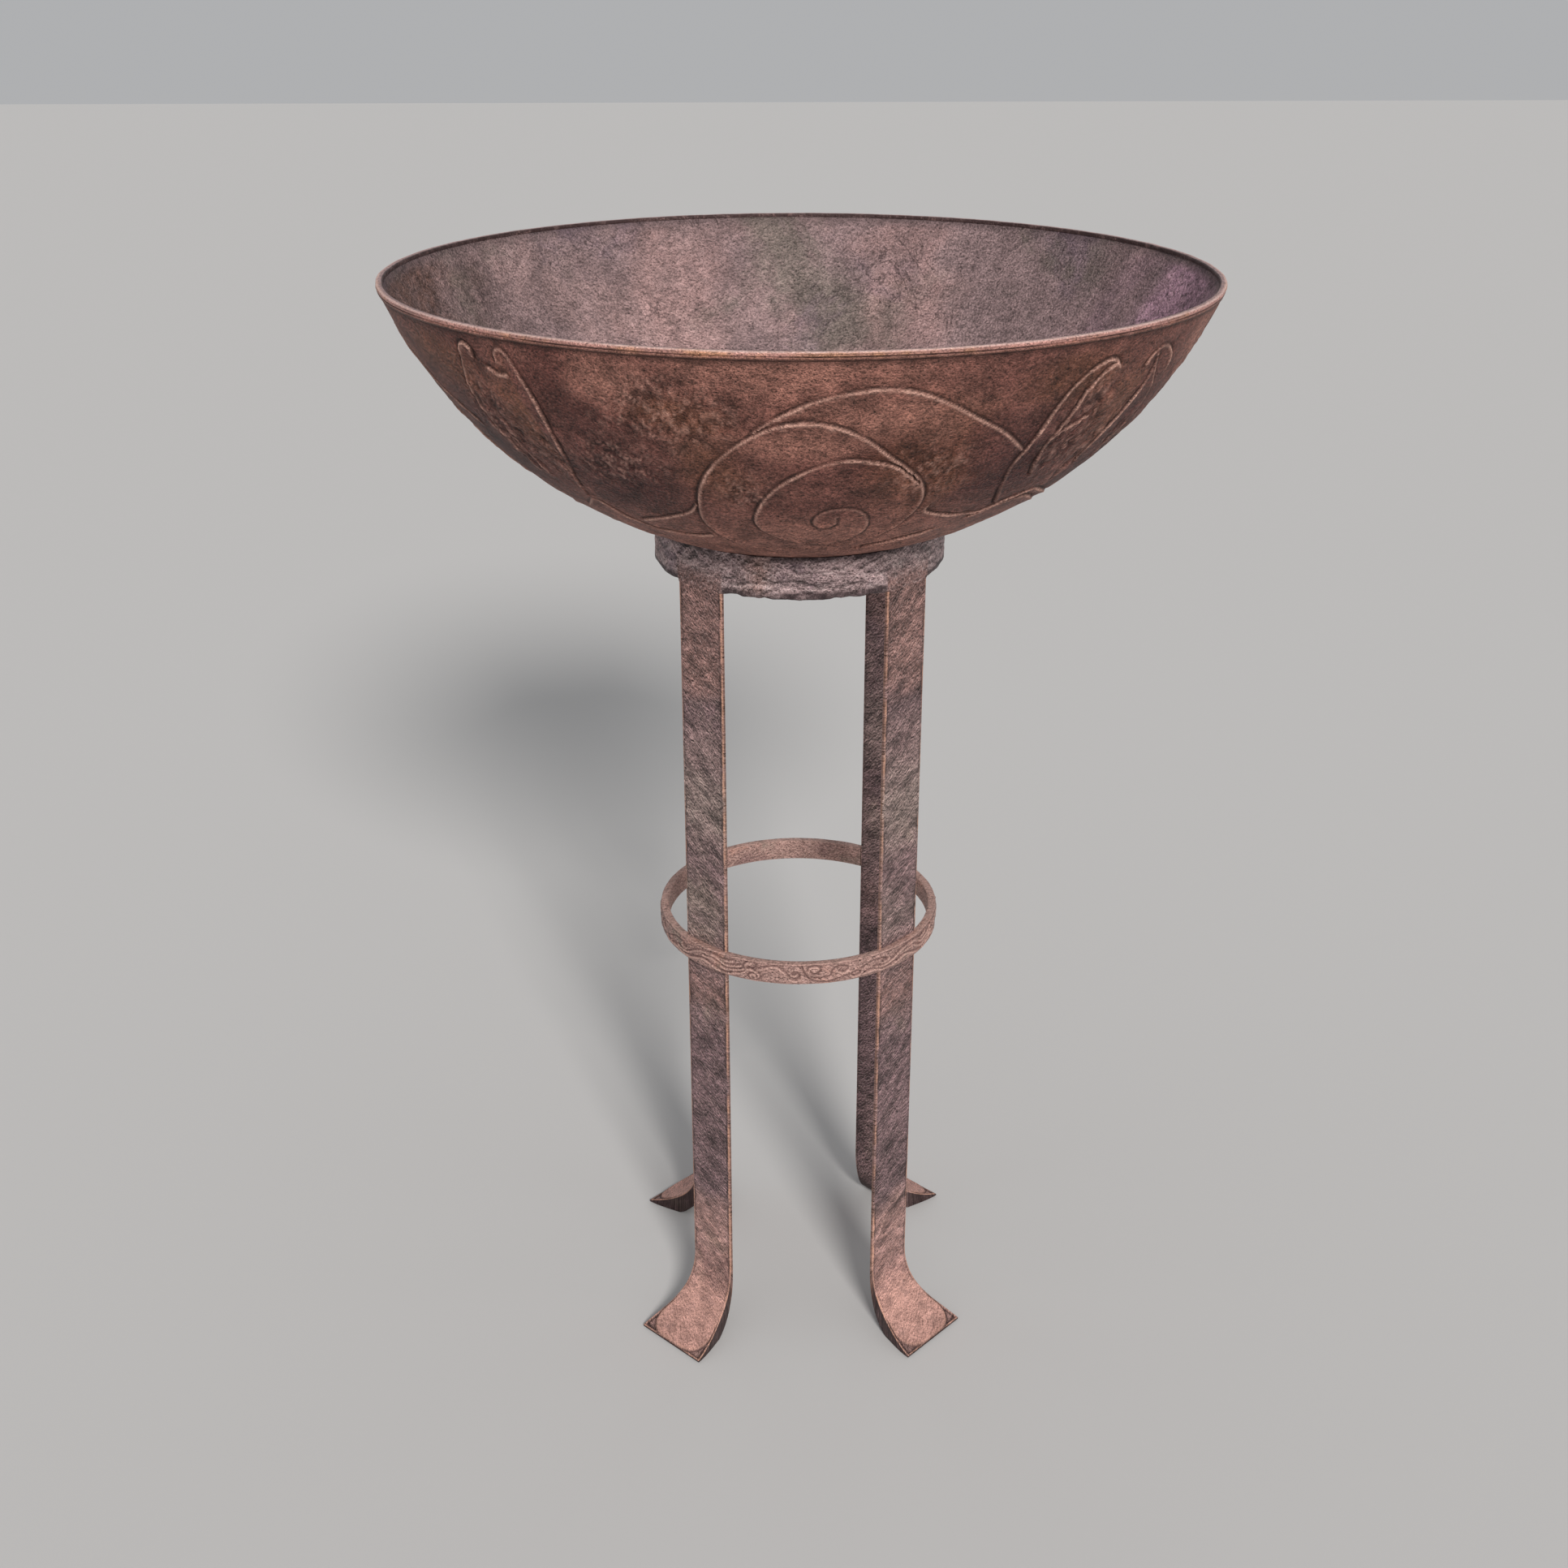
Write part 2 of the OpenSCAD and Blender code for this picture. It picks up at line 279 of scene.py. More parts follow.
def srgb(red, green, blue):
    # screen colour, 0 to 255, as the linear colour that a shader takes
    def linear(channel):
        part = channel / 255
        return part / 12.92 if part <= 0.04045 else ((part + 0.055) / 1.055) ** 2.4
    return linear(red), linear(green), linear(blue)


grainStep = 0.0007        # how far below a grain its shaded side is taken, in metres
dentStep = 0.002          # the same for a dent
crackDepth = 0.35         # millimetres


def forgedMetal(name, look):
    # hammered metal: patches of patina, a sandy grain with painted glints, and marks that the mesh carries,
    # among them painted light and shade
    paint = Paint(name)
    colour = look["base"]
    for index, (tint, scale, low, high) in enumerate(look["patches"]):
        place = paint.moved(shift=(3.1 * index, 1.7 * index, 2.3 * index))
        mask = paint.step(paint.noise(scale, 5, 0.62, 0.5, place), low, high)
        colour = paint.mix(mask, colour, tint)
    mottle = paint.noise(140, 4, 0.6, 0.4)
    for mark, tint in look.get("placed", ()):
        spread = paint.attribute(mark)
        colour = paint.mix(paint.clamped(spread + spread * (mottle - 0.5) * 1.6), colour, tint)
    # the same noise a little lower down gives the lit and the shaded side of each grain and dent
    if look.get("barGrain"):
        grain, under = [
            paint.noise(1.0, 2, 0.65, 0.0, paint.strokes(0.0026, 0.0014, low))
            for low in (0, grainStep)
        ]
        dents, hollow = [
            paint.noise(1.0, 4, 0.66, 0.4, paint.strokes(0.0095, 0.006, low))
            for low in (0, dentStep)
        ]
    else:
        lower = paint.moved(shift=(0, 0, -grainStep))
        deeper = paint.moved(shift=(0, 0, -dentStep))
        grain, under = [
            paint.noise(look["grainScale"], 2, 0.65, 0.0, place) for place in (None, lower)
        ]
        dents, hollow = [
            paint.noise(look["dentScale"], 4, 0.62, 0.6, place) for place in (None, deeper)
        ]
    lit = (grain - under) * look.get("grainLight", 0.0)
    dentLit = (dents - hollow) * look.get("dentLight", 0.0)
    speckle = paint.noise(look["grainScale"] * 2.1, 1, 0.5)
    if "calm" in look:
        # the grain is finer and fainter on parts rubbed smooth
        rubbed = 1 - paint.attribute(look["calm"]) * 0.6
        grain = 0.5 + (grain - 0.5) * rubbed
        dents = 0.5 + (dents - 0.5) * rubbed
        lit = lit * rubbed
        dentLit = dentLit * rubbed
    dentMark = dentLit + (dents - 0.5) * look["dentShade"]
    for mark in look.get("uneven", ()):
        # the dents show more strongly where these marks lie
        dentMark = dentMark * (1 + paint.attribute(mark) * 1.3)
    shade = (1 + lit + (grain - 0.5) * look["grain"] + (speckle - 0.5) * look["speckle"]) * (1 + dentMark)
    # painted light and shade of the hammered relief: raised places lighter, hollows darker, and on the collar
    # and legs faces that look up lighter
    if "form" in look:
        shade = shade * (1 + (paint.attribute("form") - 0.5) * look["form"])
    shades = paint.add("ShaderNodeCombineColor", {}, {0: shade, 1: shade, 2: shade})
    colour = paint.mix(1.0, colour, shades, "MULTIPLY")
    if "grainGlint" in look:
        # painted glints: pale specks where the grain stands proud
        colour = paint.mix(paint.step(grain, 0.52, 0.74) * look["grainGlintStrength"], colour, look["grainGlint"])
    rough = 1 + (grain - 0.5) * 2.4 + (mottle - 0.5) * 1.6
    # worn edges, together with painted highlights on ridges and crests that face the light
    if "bright" in look:
        worn = paint.clamped(paint.attribute("worn") * rough)
        colour = paint.mix(worn * look["brightStrength"], colour, look["bright"])
    # dirt and dark lines, together with painted shade in grooves and creases and painted shadow under edges
    if "dark" in look:
        dirt = paint.clamped(paint.attribute("dirt") * rough)
        colour = paint.mix(dirt * look["darkStrength"], colour, look["dark"])
    if "cracks" in look:
        # thin dark cracks where a stretched noise crosses its middle value
        place = paint.moved(stretch=look["crackStretch"])
        vein = paint.noise(look["crackScale"], 4, 0.6, 1.2, place) - 0.5
        where = paint.step(paint.noise(18, 3, 0.6), 0.5, 0.64)
        crack = (1 - paint.step(vein * vein, 0.0, 0.00022)) * where
        colour = paint.mix(crack * look["cracks"], colour, look["dark"])
    paint.set("Base Color", colour)
    paint.set("Metallic", look["metallic"])
    paint.set("Specular IOR Level", look.get("gloss", 0.3))
    paint.set("Roughness", look["roughness"] + (speckle - 0.5) * 0.3 + (dents - 0.5) * 0.2)
    relief = dents * look["dentHeight"] + speckle * look["speckleHeight"] + grain * look["grainHeight"]
    if "cracks" in look:
        relief = relief - crack * crackDepth
    paint.height(relief, millimetre)
    return paint.material


bowlOutsideLook = {
    "base": srgb(113, 73, 65),
    "patches": [
        (srgb(98, 59, 53), 9, 0.48, 0.64),
        (srgb(124, 84, 74), 16, 0.54, 0.72),
        (srgb(88, 56, 52), 14, 0.60, 0.78),
    ],
    "placed": [
        ("gold", srgb(110, 71, 52)),
        ("plum", srgb(66, 36, 35)),
        ("rose", srgb(154, 108, 95)),
    ],
    "form": 1.4,
    "grain": 1.4, "grainScale": 520, "speckle": 1.4,
    "dentScale": 150, "dentShade": 0.8,
    "dentHeight": 1.2, "speckleHeight": 0.25, "grainHeight": 2.6,
    "bright": srgb(216, 170, 154), "brightStrength": 0.95,
    "dark": srgb(36, 22, 20), "darkStrength": 0.85,
    "metallic": 0.2, "roughness": 0.56,
    "grainGlint": srgb(158, 118, 106), "grainGlintStrength": 0.3,
    "grainLight": 2.4, "dentLight": 1.3, "gloss": 0.22,
}

bowlInsideLook = {
    "base": srgb(136, 115, 115),
    "patches": [
        (srgb(156, 130, 128), 7, 0.50, 0.66),
        (srgb(120, 108, 102), 9, 0.50, 0.66),
        (srgb(124, 105, 112), 13, 0.54, 0.72),
    ],
    "placed": [
        ("plum", srgb(174, 138, 154)),
        ("gold", srgb(104, 78, 70)),
        ("rose", srgb(168, 134, 130)),
    ],
    "uneven": ("gold", "plum"),
    "form": 0.9,
    "grain": 1.2, "grainScale": 540, "speckle": 1.0,
    "dentScale": 130, "dentShade": 0.8,
    "dentHeight": 1.9, "speckleHeight": 0.25, "grainHeight": 2.0,
    "cracks": 0.55, "crackScale": 30, "crackStretch": (1, 1, 0.45),
    "bright": srgb(188, 162, 160), "brightStrength": 0.4,
    "dark": srgb(58, 46, 48), "darkStrength": 0.8,
    "metallic": 0.2, "roughness": 0.62,
    "grainGlint": srgb(180, 154, 152), "grainGlintStrength": 0.35,
    "grainLight": 2.0, "dentLight": 1.2,
}

rimLook = {
    "base": srgb(190, 141, 131),
    "patches": [
        (srgb(190, 140, 112), 20, 0.50, 0.66),
        (srgb(160, 118, 110), 34, 0.56, 0.70),
    ],
    "placed": [("lip", srgb(166, 138, 136)), ("under", srgb(132, 92, 80))],
    "grain": 2.0, "grainScale": 620, "speckle": 1.5,
    "dentScale": 220, "dentShade": 0.5,
    "dentHeight": 0.4, "speckleHeight": 0.3, "grainHeight": 1.2,
    "bright": srgb(236, 206, 198), "brightStrength": 0.8,
    "dark": srgb(46, 28, 28), "darkStrength": 0.92,
    "metallic": 0.35, "roughness": 0.5,
    "grainLight": 1.2,
}

collarLook = {
    "base": srgb(150, 128, 128),
    "patches": [
        (srgb(164, 144, 142), 26, 0.50, 0.66),
        (srgb(112, 92, 98), 22, 0.54, 0.68),
        (srgb(148, 120, 114), 20, 0.58, 0.72),
    ],
    "placed": [("rose", srgb(137, 107, 102))],
    "form": 2.2,
    "grain": 1.4, "grainScale": 500, "speckle": 1.4,
    "dentScale": 170, "dentShade": 0.8,
    "dentHeight": 1.4, "speckleHeight": 0.3, "grainHeight": 2.6,
    "bright": srgb(206, 186, 184), "brightStrength": 0.6,
    "dark": srgb(44, 30, 33), "darkStrength": 0.85,
    "metallic": 0.3, "roughness": 0.5,
    "grainGlint": srgb(204, 188, 186), "grainGlintStrength": 0.45,
    "grainLight": 2.6, "dentLight": 2.0,
}

legLook = {
    "base": srgb(134, 109, 108),
    "patches": [
        (srgb(112, 88, 90), 16, 0.50, 0.64),
        (srgb(132, 114, 106), 20, 0.54, 0.68),
        (srgb(102, 78, 80), 24, 0.60, 0.72),
    ],
    "placed": [
        ("rose", srgb(140, 108, 102)),
        ("ash", srgb(144, 126, 120)),
        ("plum", srgb(118, 95, 97)),
        ("peach", srgb(200, 155, 143)),
    ],
    "barGrain": True,
    "calm": "peach",
    "form": 2.2,
    "grain": 1.6, "grainScale": 640, "speckle": 1.4,
    "dentScale": 150, "dentShade": 1.3,
    "dentHeight": 1.3, "speckleHeight": 0.25, "grainHeight": 2.4,
    "bright": srgb(208, 158, 132), "brightStrength": 0.7,
    "dark": srgb(48, 32, 32), "darkStrength": 0.85,
    "metallic": 0.3, "roughness": 0.55,
    "grainGlint": srgb(192, 170, 164), "grainGlintStrength": 0.5,
    "grainLight": 3.8, "dentLight": 2.2,
}

hoopLook = {
    "base": srgb(166, 133, 125),
    "patches": [
        (srgb(176, 132, 118), 24, 0.50, 0.66),
        (srgb(140, 122, 112), 28, 0.54, 0.68),
        (srgb(128, 98, 96), 30, 0.58, 0.72),
    ],
    "grain": 1.4, "grainScale": 560, "speckle": 1.3,
    "dentScale": 180, "dentShade": 1.1,
    "dentHeight": 0.4, "speckleHeight": 0.25, "grainHeight": 2.0,
    "bright": srgb(214, 176, 164), "brightStrength": 0.7,
    "dark": srgb(72, 46, 46), "darkStrength": 0.75,
    "metallic": 0.3, "roughness": 0.5,
    "grainGlint": srgb(208, 180, 172), "grainGlintStrength": 0.4,
    "grainLight": 2.6, "dentLight": 0.8,
}

sootLook = {
    "base": srgb(64, 60, 60),
    "patches": [
        (srgb(84, 76, 72), 22, 0.50, 0.66),
        (srgb(104, 66, 48), 30, 0.60, 0.72),
        (srgb(42, 40, 41), 18, 0.52, 0.66),
    ],
    "grain": 1.2, "grainScale": 620, "speckle": 0.8,
    "dentScale": 200, "dentShade": 0.5,
    "dentHeight": 0.5, "speckleHeight": 0.3, "grainHeight": 0.3,
    "metallic": 0.5, "roughness": 0.65,
}

pinLook = dict(sootLook, base=srgb(120, 108, 104), metallic=0.8, roughness=0.42)
# the rivets carry no marks of their own, so the keys that read marks go
markKeys = ("placed", "barGrain", "calm", "form", "bright", "dark")
rivetLook = {key: value for key, value in legLook.items() if key not in markKeys}

bowlOutsideMetal = forgedMetal("bowlOutsideMetal", bowlOutsideLook)
bowlInsideMetal = forgedMetal("bowlInsideMetal", bowlInsideLook)
rimMetal = forgedMetal("rimMetal", rimLook)
collarMetal = forgedMetal("collarMetal", collarLook)
legMetal = forgedMetal("legMetal", legLook)
hoopMetal = forgedMetal("hoopMetal", hoopLook)
sootIron = forgedMetal("sootIron", sootLook)
pinSteel = forgedMetal("pinSteel", pinLook)
rivetMetal = forgedMetal("rivetMetal", rivetLook)
print("materials made")


# chased lines

class LineField:
    # finds how far a point is from the nearest chased line, and on which side of it
    def __init__(self, lines):
        self.points = [sample for line in lines for sample in line]
        self.tree = kdtree.KDTree(len(self.points))
        for index, (place, away) in enumerate(self.points):
            self.tree.insert(place, index)
        self.tree.balance()

    def near(self, place):
        # millimetres to the line, less than nothing on its raised side, and how far that edge faces up
        found, index, distance = self.tree.find(place)
        away = self.points[index][1]
        sign = 1.0 if (place - found).dot(away) >= 0 else -1.0
        return sign * distance / millimetre, away.z


def chased(points, side, surface):
    # samples of one line: place, and the direction away from its raised side
    samples = []
    places = [surface(*point) for point in points]
    for i in range(len(places) - 1):
        (here, normal), (there, unused) = places[i], places[i + 1]
        along = there - here
        if along.length < 1e-7:
            continue
        away = normal.cross(along).normalized() * side
        count = max(1, int(along.length / (0.6 * millimetre)))
        for step in range(count):
            samples.append((here + along * (step / count), away))
    return samples


# fire bowl

rimLow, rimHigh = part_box("rim_band")
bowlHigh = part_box("fire_bowl")[1]

bowl = {
    "rimRadius": (rimHigh.x - rimLow.x) / 2,
    "rimHeight": rimHigh.z,
    "halfWidth": 0.2937,      # of the ellipse that the outside follows
    "halfHeight": 0.2818,
    "wall": 0.003,
    "throatRadius": 0.022,
    "lipTop": bowlHigh.z,
    "bandFoot": rimLow.z,
    "lipInset": 0.0008,
    "turns": 430,
    "outsideRows": 70,
    "insideRows": 38,
    "ringDepths": (202, 208, 215),
    "seatRadius": 0.103,      # where the collar's seat begins
    "wallRadius": 0.2875,     # mean radius of the wall's curve, turns angle into depth
}
bowl["centre"] = bowl["rimHeight"] + bowl["halfHeight"] * math.sqrt(
    1 - (bowl["rimRadius"] / bowl["halfWidth"]) ** 2
)
bowl["rimTurn"] = math.asin(bowl["rimRadius"] / bowl["halfWidth"])


def bowlPoint(turn, inset=0.0):
    # radius and height on the bowl's ellipse at an angle up from the bottom
    return (
        (bowl["halfWidth"] - inset) * math.sin(turn),
        bowl["centre"] - (bowl["halfHeight"] - inset) * math.cos(turn),
    )


def turnAtRadius(radius, inset=0.0):
    return math.asin(radius / (bowl["halfWidth"] - inset))


def turnAtHeight(height, inset=0.0):
    return math.acos((bowl["centre"] - height) / (bowl["halfHeight"] - inset))


def turnAtDepth(depth):
    # depth is measured down the wall from the rim, in millimetres
    return bowl["rimTurn"] - depth * millimetre / bowl["wallRadius"]


def bowlNormal(turn):
    across = Vector((math.sin(turn) / bowl["halfWidth"], -math.cos(turn) / bowl["halfHeight"]))
    return across.normalized()


def bowlSurface(azimuth, depth):
    # a place on the outside and the wall's normal there; azimuth 0 faces the front
    turn = turnAtDepth(depth)
    radius, height = bowlPoint(turn)
    flat = levelAt(azimuth - 90)
    normal = bowlNormal(turn)
    return flat * radius + Vector((0, 0, height)), flat * normal.x + Vector((0, 0, normal.y))


# each line is (raised side, points of (degrees round, millimetres down the wall))
scroll = [
    (1, [(-12.5, 56), (-9, 43), (-4, 31), (1, 25.5), (4, 24.5), (8, 28), (12, 37), (17, 51), (22, 65),
         (27, 83)]),
    (1, [(-21, 187), (-23.5, 172), (-24.5, 154), (-23.7, 133), (-22, 110), (-19.5, 90), (-16.5, 74),
         (-13, 60), (-9.5, 51), (-6, 48), (-2, 51), (2, 61), (6, 77), (9.5, 91), (12, 103), (13.7, 119),
         (14, 136), (13, 154), (11, 170), (7, 186), (1, 196), (-5, 199), (-11, 196)]),
    (-1, [(11.5, 104), (9.3, 94), (7, 86), (4, 81), (0, 79), (-3.5, 83), (-7, 93), (-10, 106), (-12.3, 121),
         (-14, 137), (-14.5, 151), (-13.3, 164), (-10.5, 177), (-7, 185), (-3, 188), (1, 186), (4, 179),
         (6, 167), (6.2, 152), (5, 139), (3, 132), (0.5, 130), (-2, 133), (-3.6, 140), (-4, 149),
         (-3, 156), (-1.2, 157), (0.2, 151), (0, 144)]),
    (1, [(8, 203), (12, 194), (16, 188), (20, 183), (23, 176)]),
]
hookedPetals = [
    (1, [(-6.2, 121), (-6, 106), (-6.3, 90), (-7, 72), (-7, 55), (-5.5, 38), (-4, 24), (-3.3, 16),
         (-2, 12.3), (-0.8, 16), (-1, 21)]),
    (1, [(-3.3, 120), (-3.6, 104), (-4, 88)]),
    (1, [(3.5, 20.5), (3.7, 15), (5, 11.5), (6.2, 18), (6.8, 30), (7.3, 45), (7.2, 62), (6.8, 80),
         (6, 97), (4.5, 113), (3, 128), (2, 140)]),
    (1, [(1.5, 27), (3, 30), (4.5, 29)]),
    (1, [(-4, 161), (-1, 153), (1.5, 146), (3.5, 148), (5, 156), (6.5, 165), (8.5, 174), (11, 179.5),
         (16, 180.5), (21, 180), (25, 176)]),
    (1, [(11, 163), (16, 156), (20, 149), (24, 140), (26, 130)]),
]
roundPetals = [
    (1, [(-8.5, 144), (-10.7, 128), (-12.3, 112), (-13, 97), (-12.5, 84), (-12, 68), (-11.2, 50),
         (-10, 36), (-8, 25), (-5.7, 19.5), (-4, 21), (-3, 25)]),
    (-1, [(-3.7, 22), (-5.7, 30), (-7.2, 44), (-7.7, 60), (-8.6, 80), (-8.4, 97), (-7, 112)]),
    (1, [(3.5, 30), (4.2, 23), (6, 19.3), (8.3, 22), (10.5, 30), (12, 42)]),
    (1, [(5, 112), (5, 90), (6, 65), (6.8, 45), (6, 26)]),
    (1, [(6, 26), (8.5, 42), (11.5, 57), (12.5, 75), (12, 95), (11.5, 115)]),
    (1, [(-8.5, 78), (-6, 68), (-4, 62)]),
    (1, [(-24, 135), (-23.5, 142), (-20, 148), (-16, 152.5), (-11, 155), (-8.5, 152), (-5, 145),
         (-1.5, 139.5), (1, 138.5), (4, 143), (8, 150), (13, 158), (19, 167), (25, 177)]),
    (1, [(-11, 160), (-6, 152), (-1, 147), (3, 150), (8, 160), (14, 170)]),
]
motifs = [(scroll, 4), (scroll, 94), (scroll, 184), (scroll, 274),
          (hookedPetals, -46), (hookedPetals, 134), (roundPetals, 44), (roundPetals, 224)]


def bowlLines():
    lines = []
    for motif, azimuth in motifs:
        for side, points in motif:
            placed = [(azimuth + a, d) for a, d in flowing(points)]
            lines.append(chased(placed, side, bowlSurface))
    return LineField(lines)


def bowlProfile():
    # from the throat up the outside, over the lip and down the inside
    footTurn = turnAtHeight(bowl["bandFoot"])
    firstTurn = turnAtRadius(bowl["throatRadius"])
    rows = bowl["outsideRows"]
    turns = [firstTurn + (footTurn - firstTurn) * i / rows for i in range(rows + 1)]
    for depth in bowl["ringDepths"]:
        for step in (-1.6, -0.8, 0, 0.8, 1.6):
            turns.append(turnAtDepth(depth + step))
    turns = sorted(turns)
    kept = [turns[0]]
    for turn in turns[1:]:
        if turn - kept[-1] > 0.0016:
            kept.append(turn)
    kept[-1] = footTurn
    outside = [bowlPoint(turn) for turn in kept]
    lipRadius = outside[-1][0] - bowl["lipInset"]
    lip = [(lipRadius, bowl["bandFoot"]), (lipRadius, bowl["lipTop"])]
    lastTurn = turnAtHeight(bowl["lipTop"], bowl["wall"])
    floorTurn = turnAtRadius(bowl["throatRadius"], bowl["wall"])
    rows = bowl["insideRows"]
    inside = [
        bowlPoint(lastTurn + (floorTurn - lastTurn) * i / rows, bowl["wall"])
        for i in range(rows + 1)
    ]
    return outside + lip + inside


def wallTurn(place, inset):
    # the angle up from the bottom of a point on the wall
    radius = math.hypot(place.x, place.y)
    return math.atan2(
        radius / (bowl["halfWidth"] - inset), (bowl["centre"] - place.z) / (bowl["halfHeight"] - inset)
    )


def isOutside(place):
    # true for points on the bowl's outer skin
    radius = math.hypot(place.x, place.y)
    fill = (radius / bowl["halfWidth"]) ** 2 + ((bowl["centre"] - place.z) / bowl["halfHeight"]) ** 2
    return fill > 0.989 and place.z < bowl["bandFoot"] + 1e-4


def folded(place):
    # degrees from the middle of the nearest scroll, since the pattern repeats four times
    azimuth = math.degrees(math.atan2(place.y, place.x)) + 90
    return (azimuth - 4 + 45) % 90 - 45


def patch(across, depth, spots):
    # how strongly a point lies in any of a few soft oval patches
    total = 0.0
    for centreAcross, centreDepth, width, height in spots:
        reach = ((across - centreAcross) / width) ** 2 + ((depth - centreDepth) / height) ** 2
        total = max(total, smooth(1.6, 0.3, math.sqrt(reach)))
    return total


# soft patches: (degrees from the scroll's middle, depth, half width, half height)
barkSpots = [
    (-24, 45, 9, 26), (13, 95, 6, 24), (-15, 112, 4, 18),
    (36, 75, 5, 45), (45, 100, 5, 40), (-34, 90, 8, 22),
]
goldSpots = [
    (12, 92, 8, 42), (-18, 90, 5, 34), (10, 50, 9, 18),
    (44, 62, 6, 34), (-22, 48, 6, 16), (30, 30, 8, 16),
]
plumSpots = [(-36, 125, 13, 60), (30, 115, 10, 60)]
# rose patches: a lighter patina near the rim, which round the tops of the arches also stands in for painted
# highlight
roseSpots = [
    (-6, 12, 16, 20), (0, 205, 60, 60), (-30, 24, 5, 20),
    (3, 44, 13, 20), (-5, 66, 9, 14), (1, 170, 10, 26),
]
heartSpots = [(1, 145, 9, 34)]


def depthAt(place):
    return (bowl["rimTurn"] - wallTurn(place, 0)) * bowl["wallRadius"] / millimetre


def refineNear(bm, field, reach, barkLimit):
    # cuts the outer faces that lie near a line or in a rough patch
    edges = set()
    for face in bm.faces:
        middle = face.calc_center_median()
        if not isOutside(middle):
            continue
        bark = patch(folded(middle), depthAt(middle), barkSpots)
        if abs(field.near(middle)[0]) < reach or bark > barkLimit:
            edges.update(face.edges)
    bmesh.ops.subdivide_edges(bm, edges=list(edges), cuts=1, use_grid_fill=True)


def reliefAcross(signed, groove=0.8, ridge=0.6, shoulder=0.75):
    # height in millimetres of a chased line's section
    height = ridge * bump(signed, -0.9, 1.1) - groove * bump(signed, 1.2, 0.9)
    if signed < 0:
        height += shoulder * math.exp(signed / 6) * smooth(0, -1.2, signed)
    return height


hammering = {
    "broad": 0.030,           # width of the hammer's marks, in metres
    "fine": 0.011,
    "broadPush": 0.5,         # how far they stand out, in millimetres
    "finePush": 0.22,
    "barkPush": 0.5,          # and how much more in the rough patches
    "creasePush": 1.3,
    "flakePush": 0.7,
    "ringRidge": 0.3,         # the turned rings round the foot
    "ringGroove": 0.5,
    "insidePush": 0.9,
}


seatTurn = turnAtRadius(bowl["seatRadius"])


def outerSkin(place, flat, field, marks):
    # where a point of the outer skin goes once it is hammered and chased, with its marks noted
    x, y, z = place
    turn = wallTurn(place, 0)
    radius, height = bowlPoint(turn)
    onWall = flat * radius + Vector((0, 0, height))
    normal = bowlNormal(turn)
    out = flat * normal.x + Vector((0, 0, normal.y))
    depth = depthAt(place)
    across = folded(place)
    wander = 4 * noiseAt(x, y, z, 0.03, 8.0)
    coarse = lumps(x, y, z, hammering["broad"], 1.0)
    fine = lumps(x, y, z, hammering["fine"], 6.0, 2)
    bark = patch(across, depth, barkSpots)
    slant = across * 4.5 - depth * 0.45
    crease = abs(noise.noise(Vector((slant / 4.5, depth / 13, 3.0 + x * 9))))
    flake = noise.noise(Vector((slant / 2.6, depth / 6, 7.0 + x * 9)))
    push = hammering["broadPush"] * coarse + hammering["finePush"] * fine
    push += bark * (hammering["barkPush"] * fine + hammering["creasePush"] * (0.2 - crease)
                    + hammering["flakePush"] * flake)
    ridge = groove = 0.0
    signed, facing = field.near(onWall)
    if abs(signed) < 8:
        # the line is cut by hand, so it swells and thins, and it fades at the scroll's heart
        hand = 0.8 + 0.6 * noiseAt(x, y, z, 0.025, 12.0) + 0.3 * noiseAt(x, y, z, 0.008, 14.0)
        faint = 1 - 0.7 * patch(across, depth, heartSpots)
        push += reliefAcross(signed) * hand * faint
        # painted highlight: the ridge is lighter where its edge faces up, and fades deep down the wall
        ridge = bump(signed, -0.8, 0.6 + 0.3 * hand) * hand * faint
        ridge *= smooth(-0.8, 0.6, facing) * smooth(208, 168, depth)
        # the groove is dark, and painted shade makes it darker and wider under edges that face down
        under = max(0.0, -facing)
        groove = bump(signed, 1.0 + 0.4 * under, 0.8 + 0.4 * under) * hand * (1.25 + 0.2 * under)
    for ringDepth in bowl["ringDepths"]:
        waver = depth + 1.5 * noiseAt(x, y, z, 0.04, 15.0)
        push += hammering["ringRidge"] * bump(waver, ringDepth - 0.8, 0.9)
        push -= hammering["ringGroove"] * bump(waver, ringDepth + 0.6, 0.8)
        groove = max(groove, 0.8 * bump(waver, ringDepth + 0.6, 0.9) * smooth(-0.2, 0.3, coarse))
    # nothing stands out at the seat or under the rim band
    calm = smooth(seatTurn, seatTurn + 0.03, turn) * smooth(0.3, 3, depth - 5)
    # raised creases and flakes in the rough patches are lighter, partly wear and partly painted highlight
    rubbed = 0.16 * smooth(0.12, 0.02, crease) + 0.36 * smooth(0.15, 0.5, flake)
    # painted shade just under the rim band and where the bowl meets the collar's seat
    edgeShade = 0.7 * smooth(7.5, 5.5, depth) + 0.3 * smooth(0.05, -0.01, turn - seatTurn)
    # the hammering is painted in light and shade as well: raised places lighter, hollows darker
    marks.note(
        worn=(ridge + bark * rubbed) * calm,
        dirt=groove * calm + edgeShade,
        form=0.5 + 0.2 * coarse + 0.34 * fine + bark * (0.55 * (0.2 - crease) + 0.5 * flake),
        gold=patch(across + wander, depth + 3 * wander, goldSpots) * 0.6,
        plum=patch(across + wander, depth + 3 * wander, plumSpots) * 0.8,
        rose=patch(across + wander, depth + 2 * wander, roseSpots) * 0.8,
    )
    return onWall + out * (push * calm * millimetre)


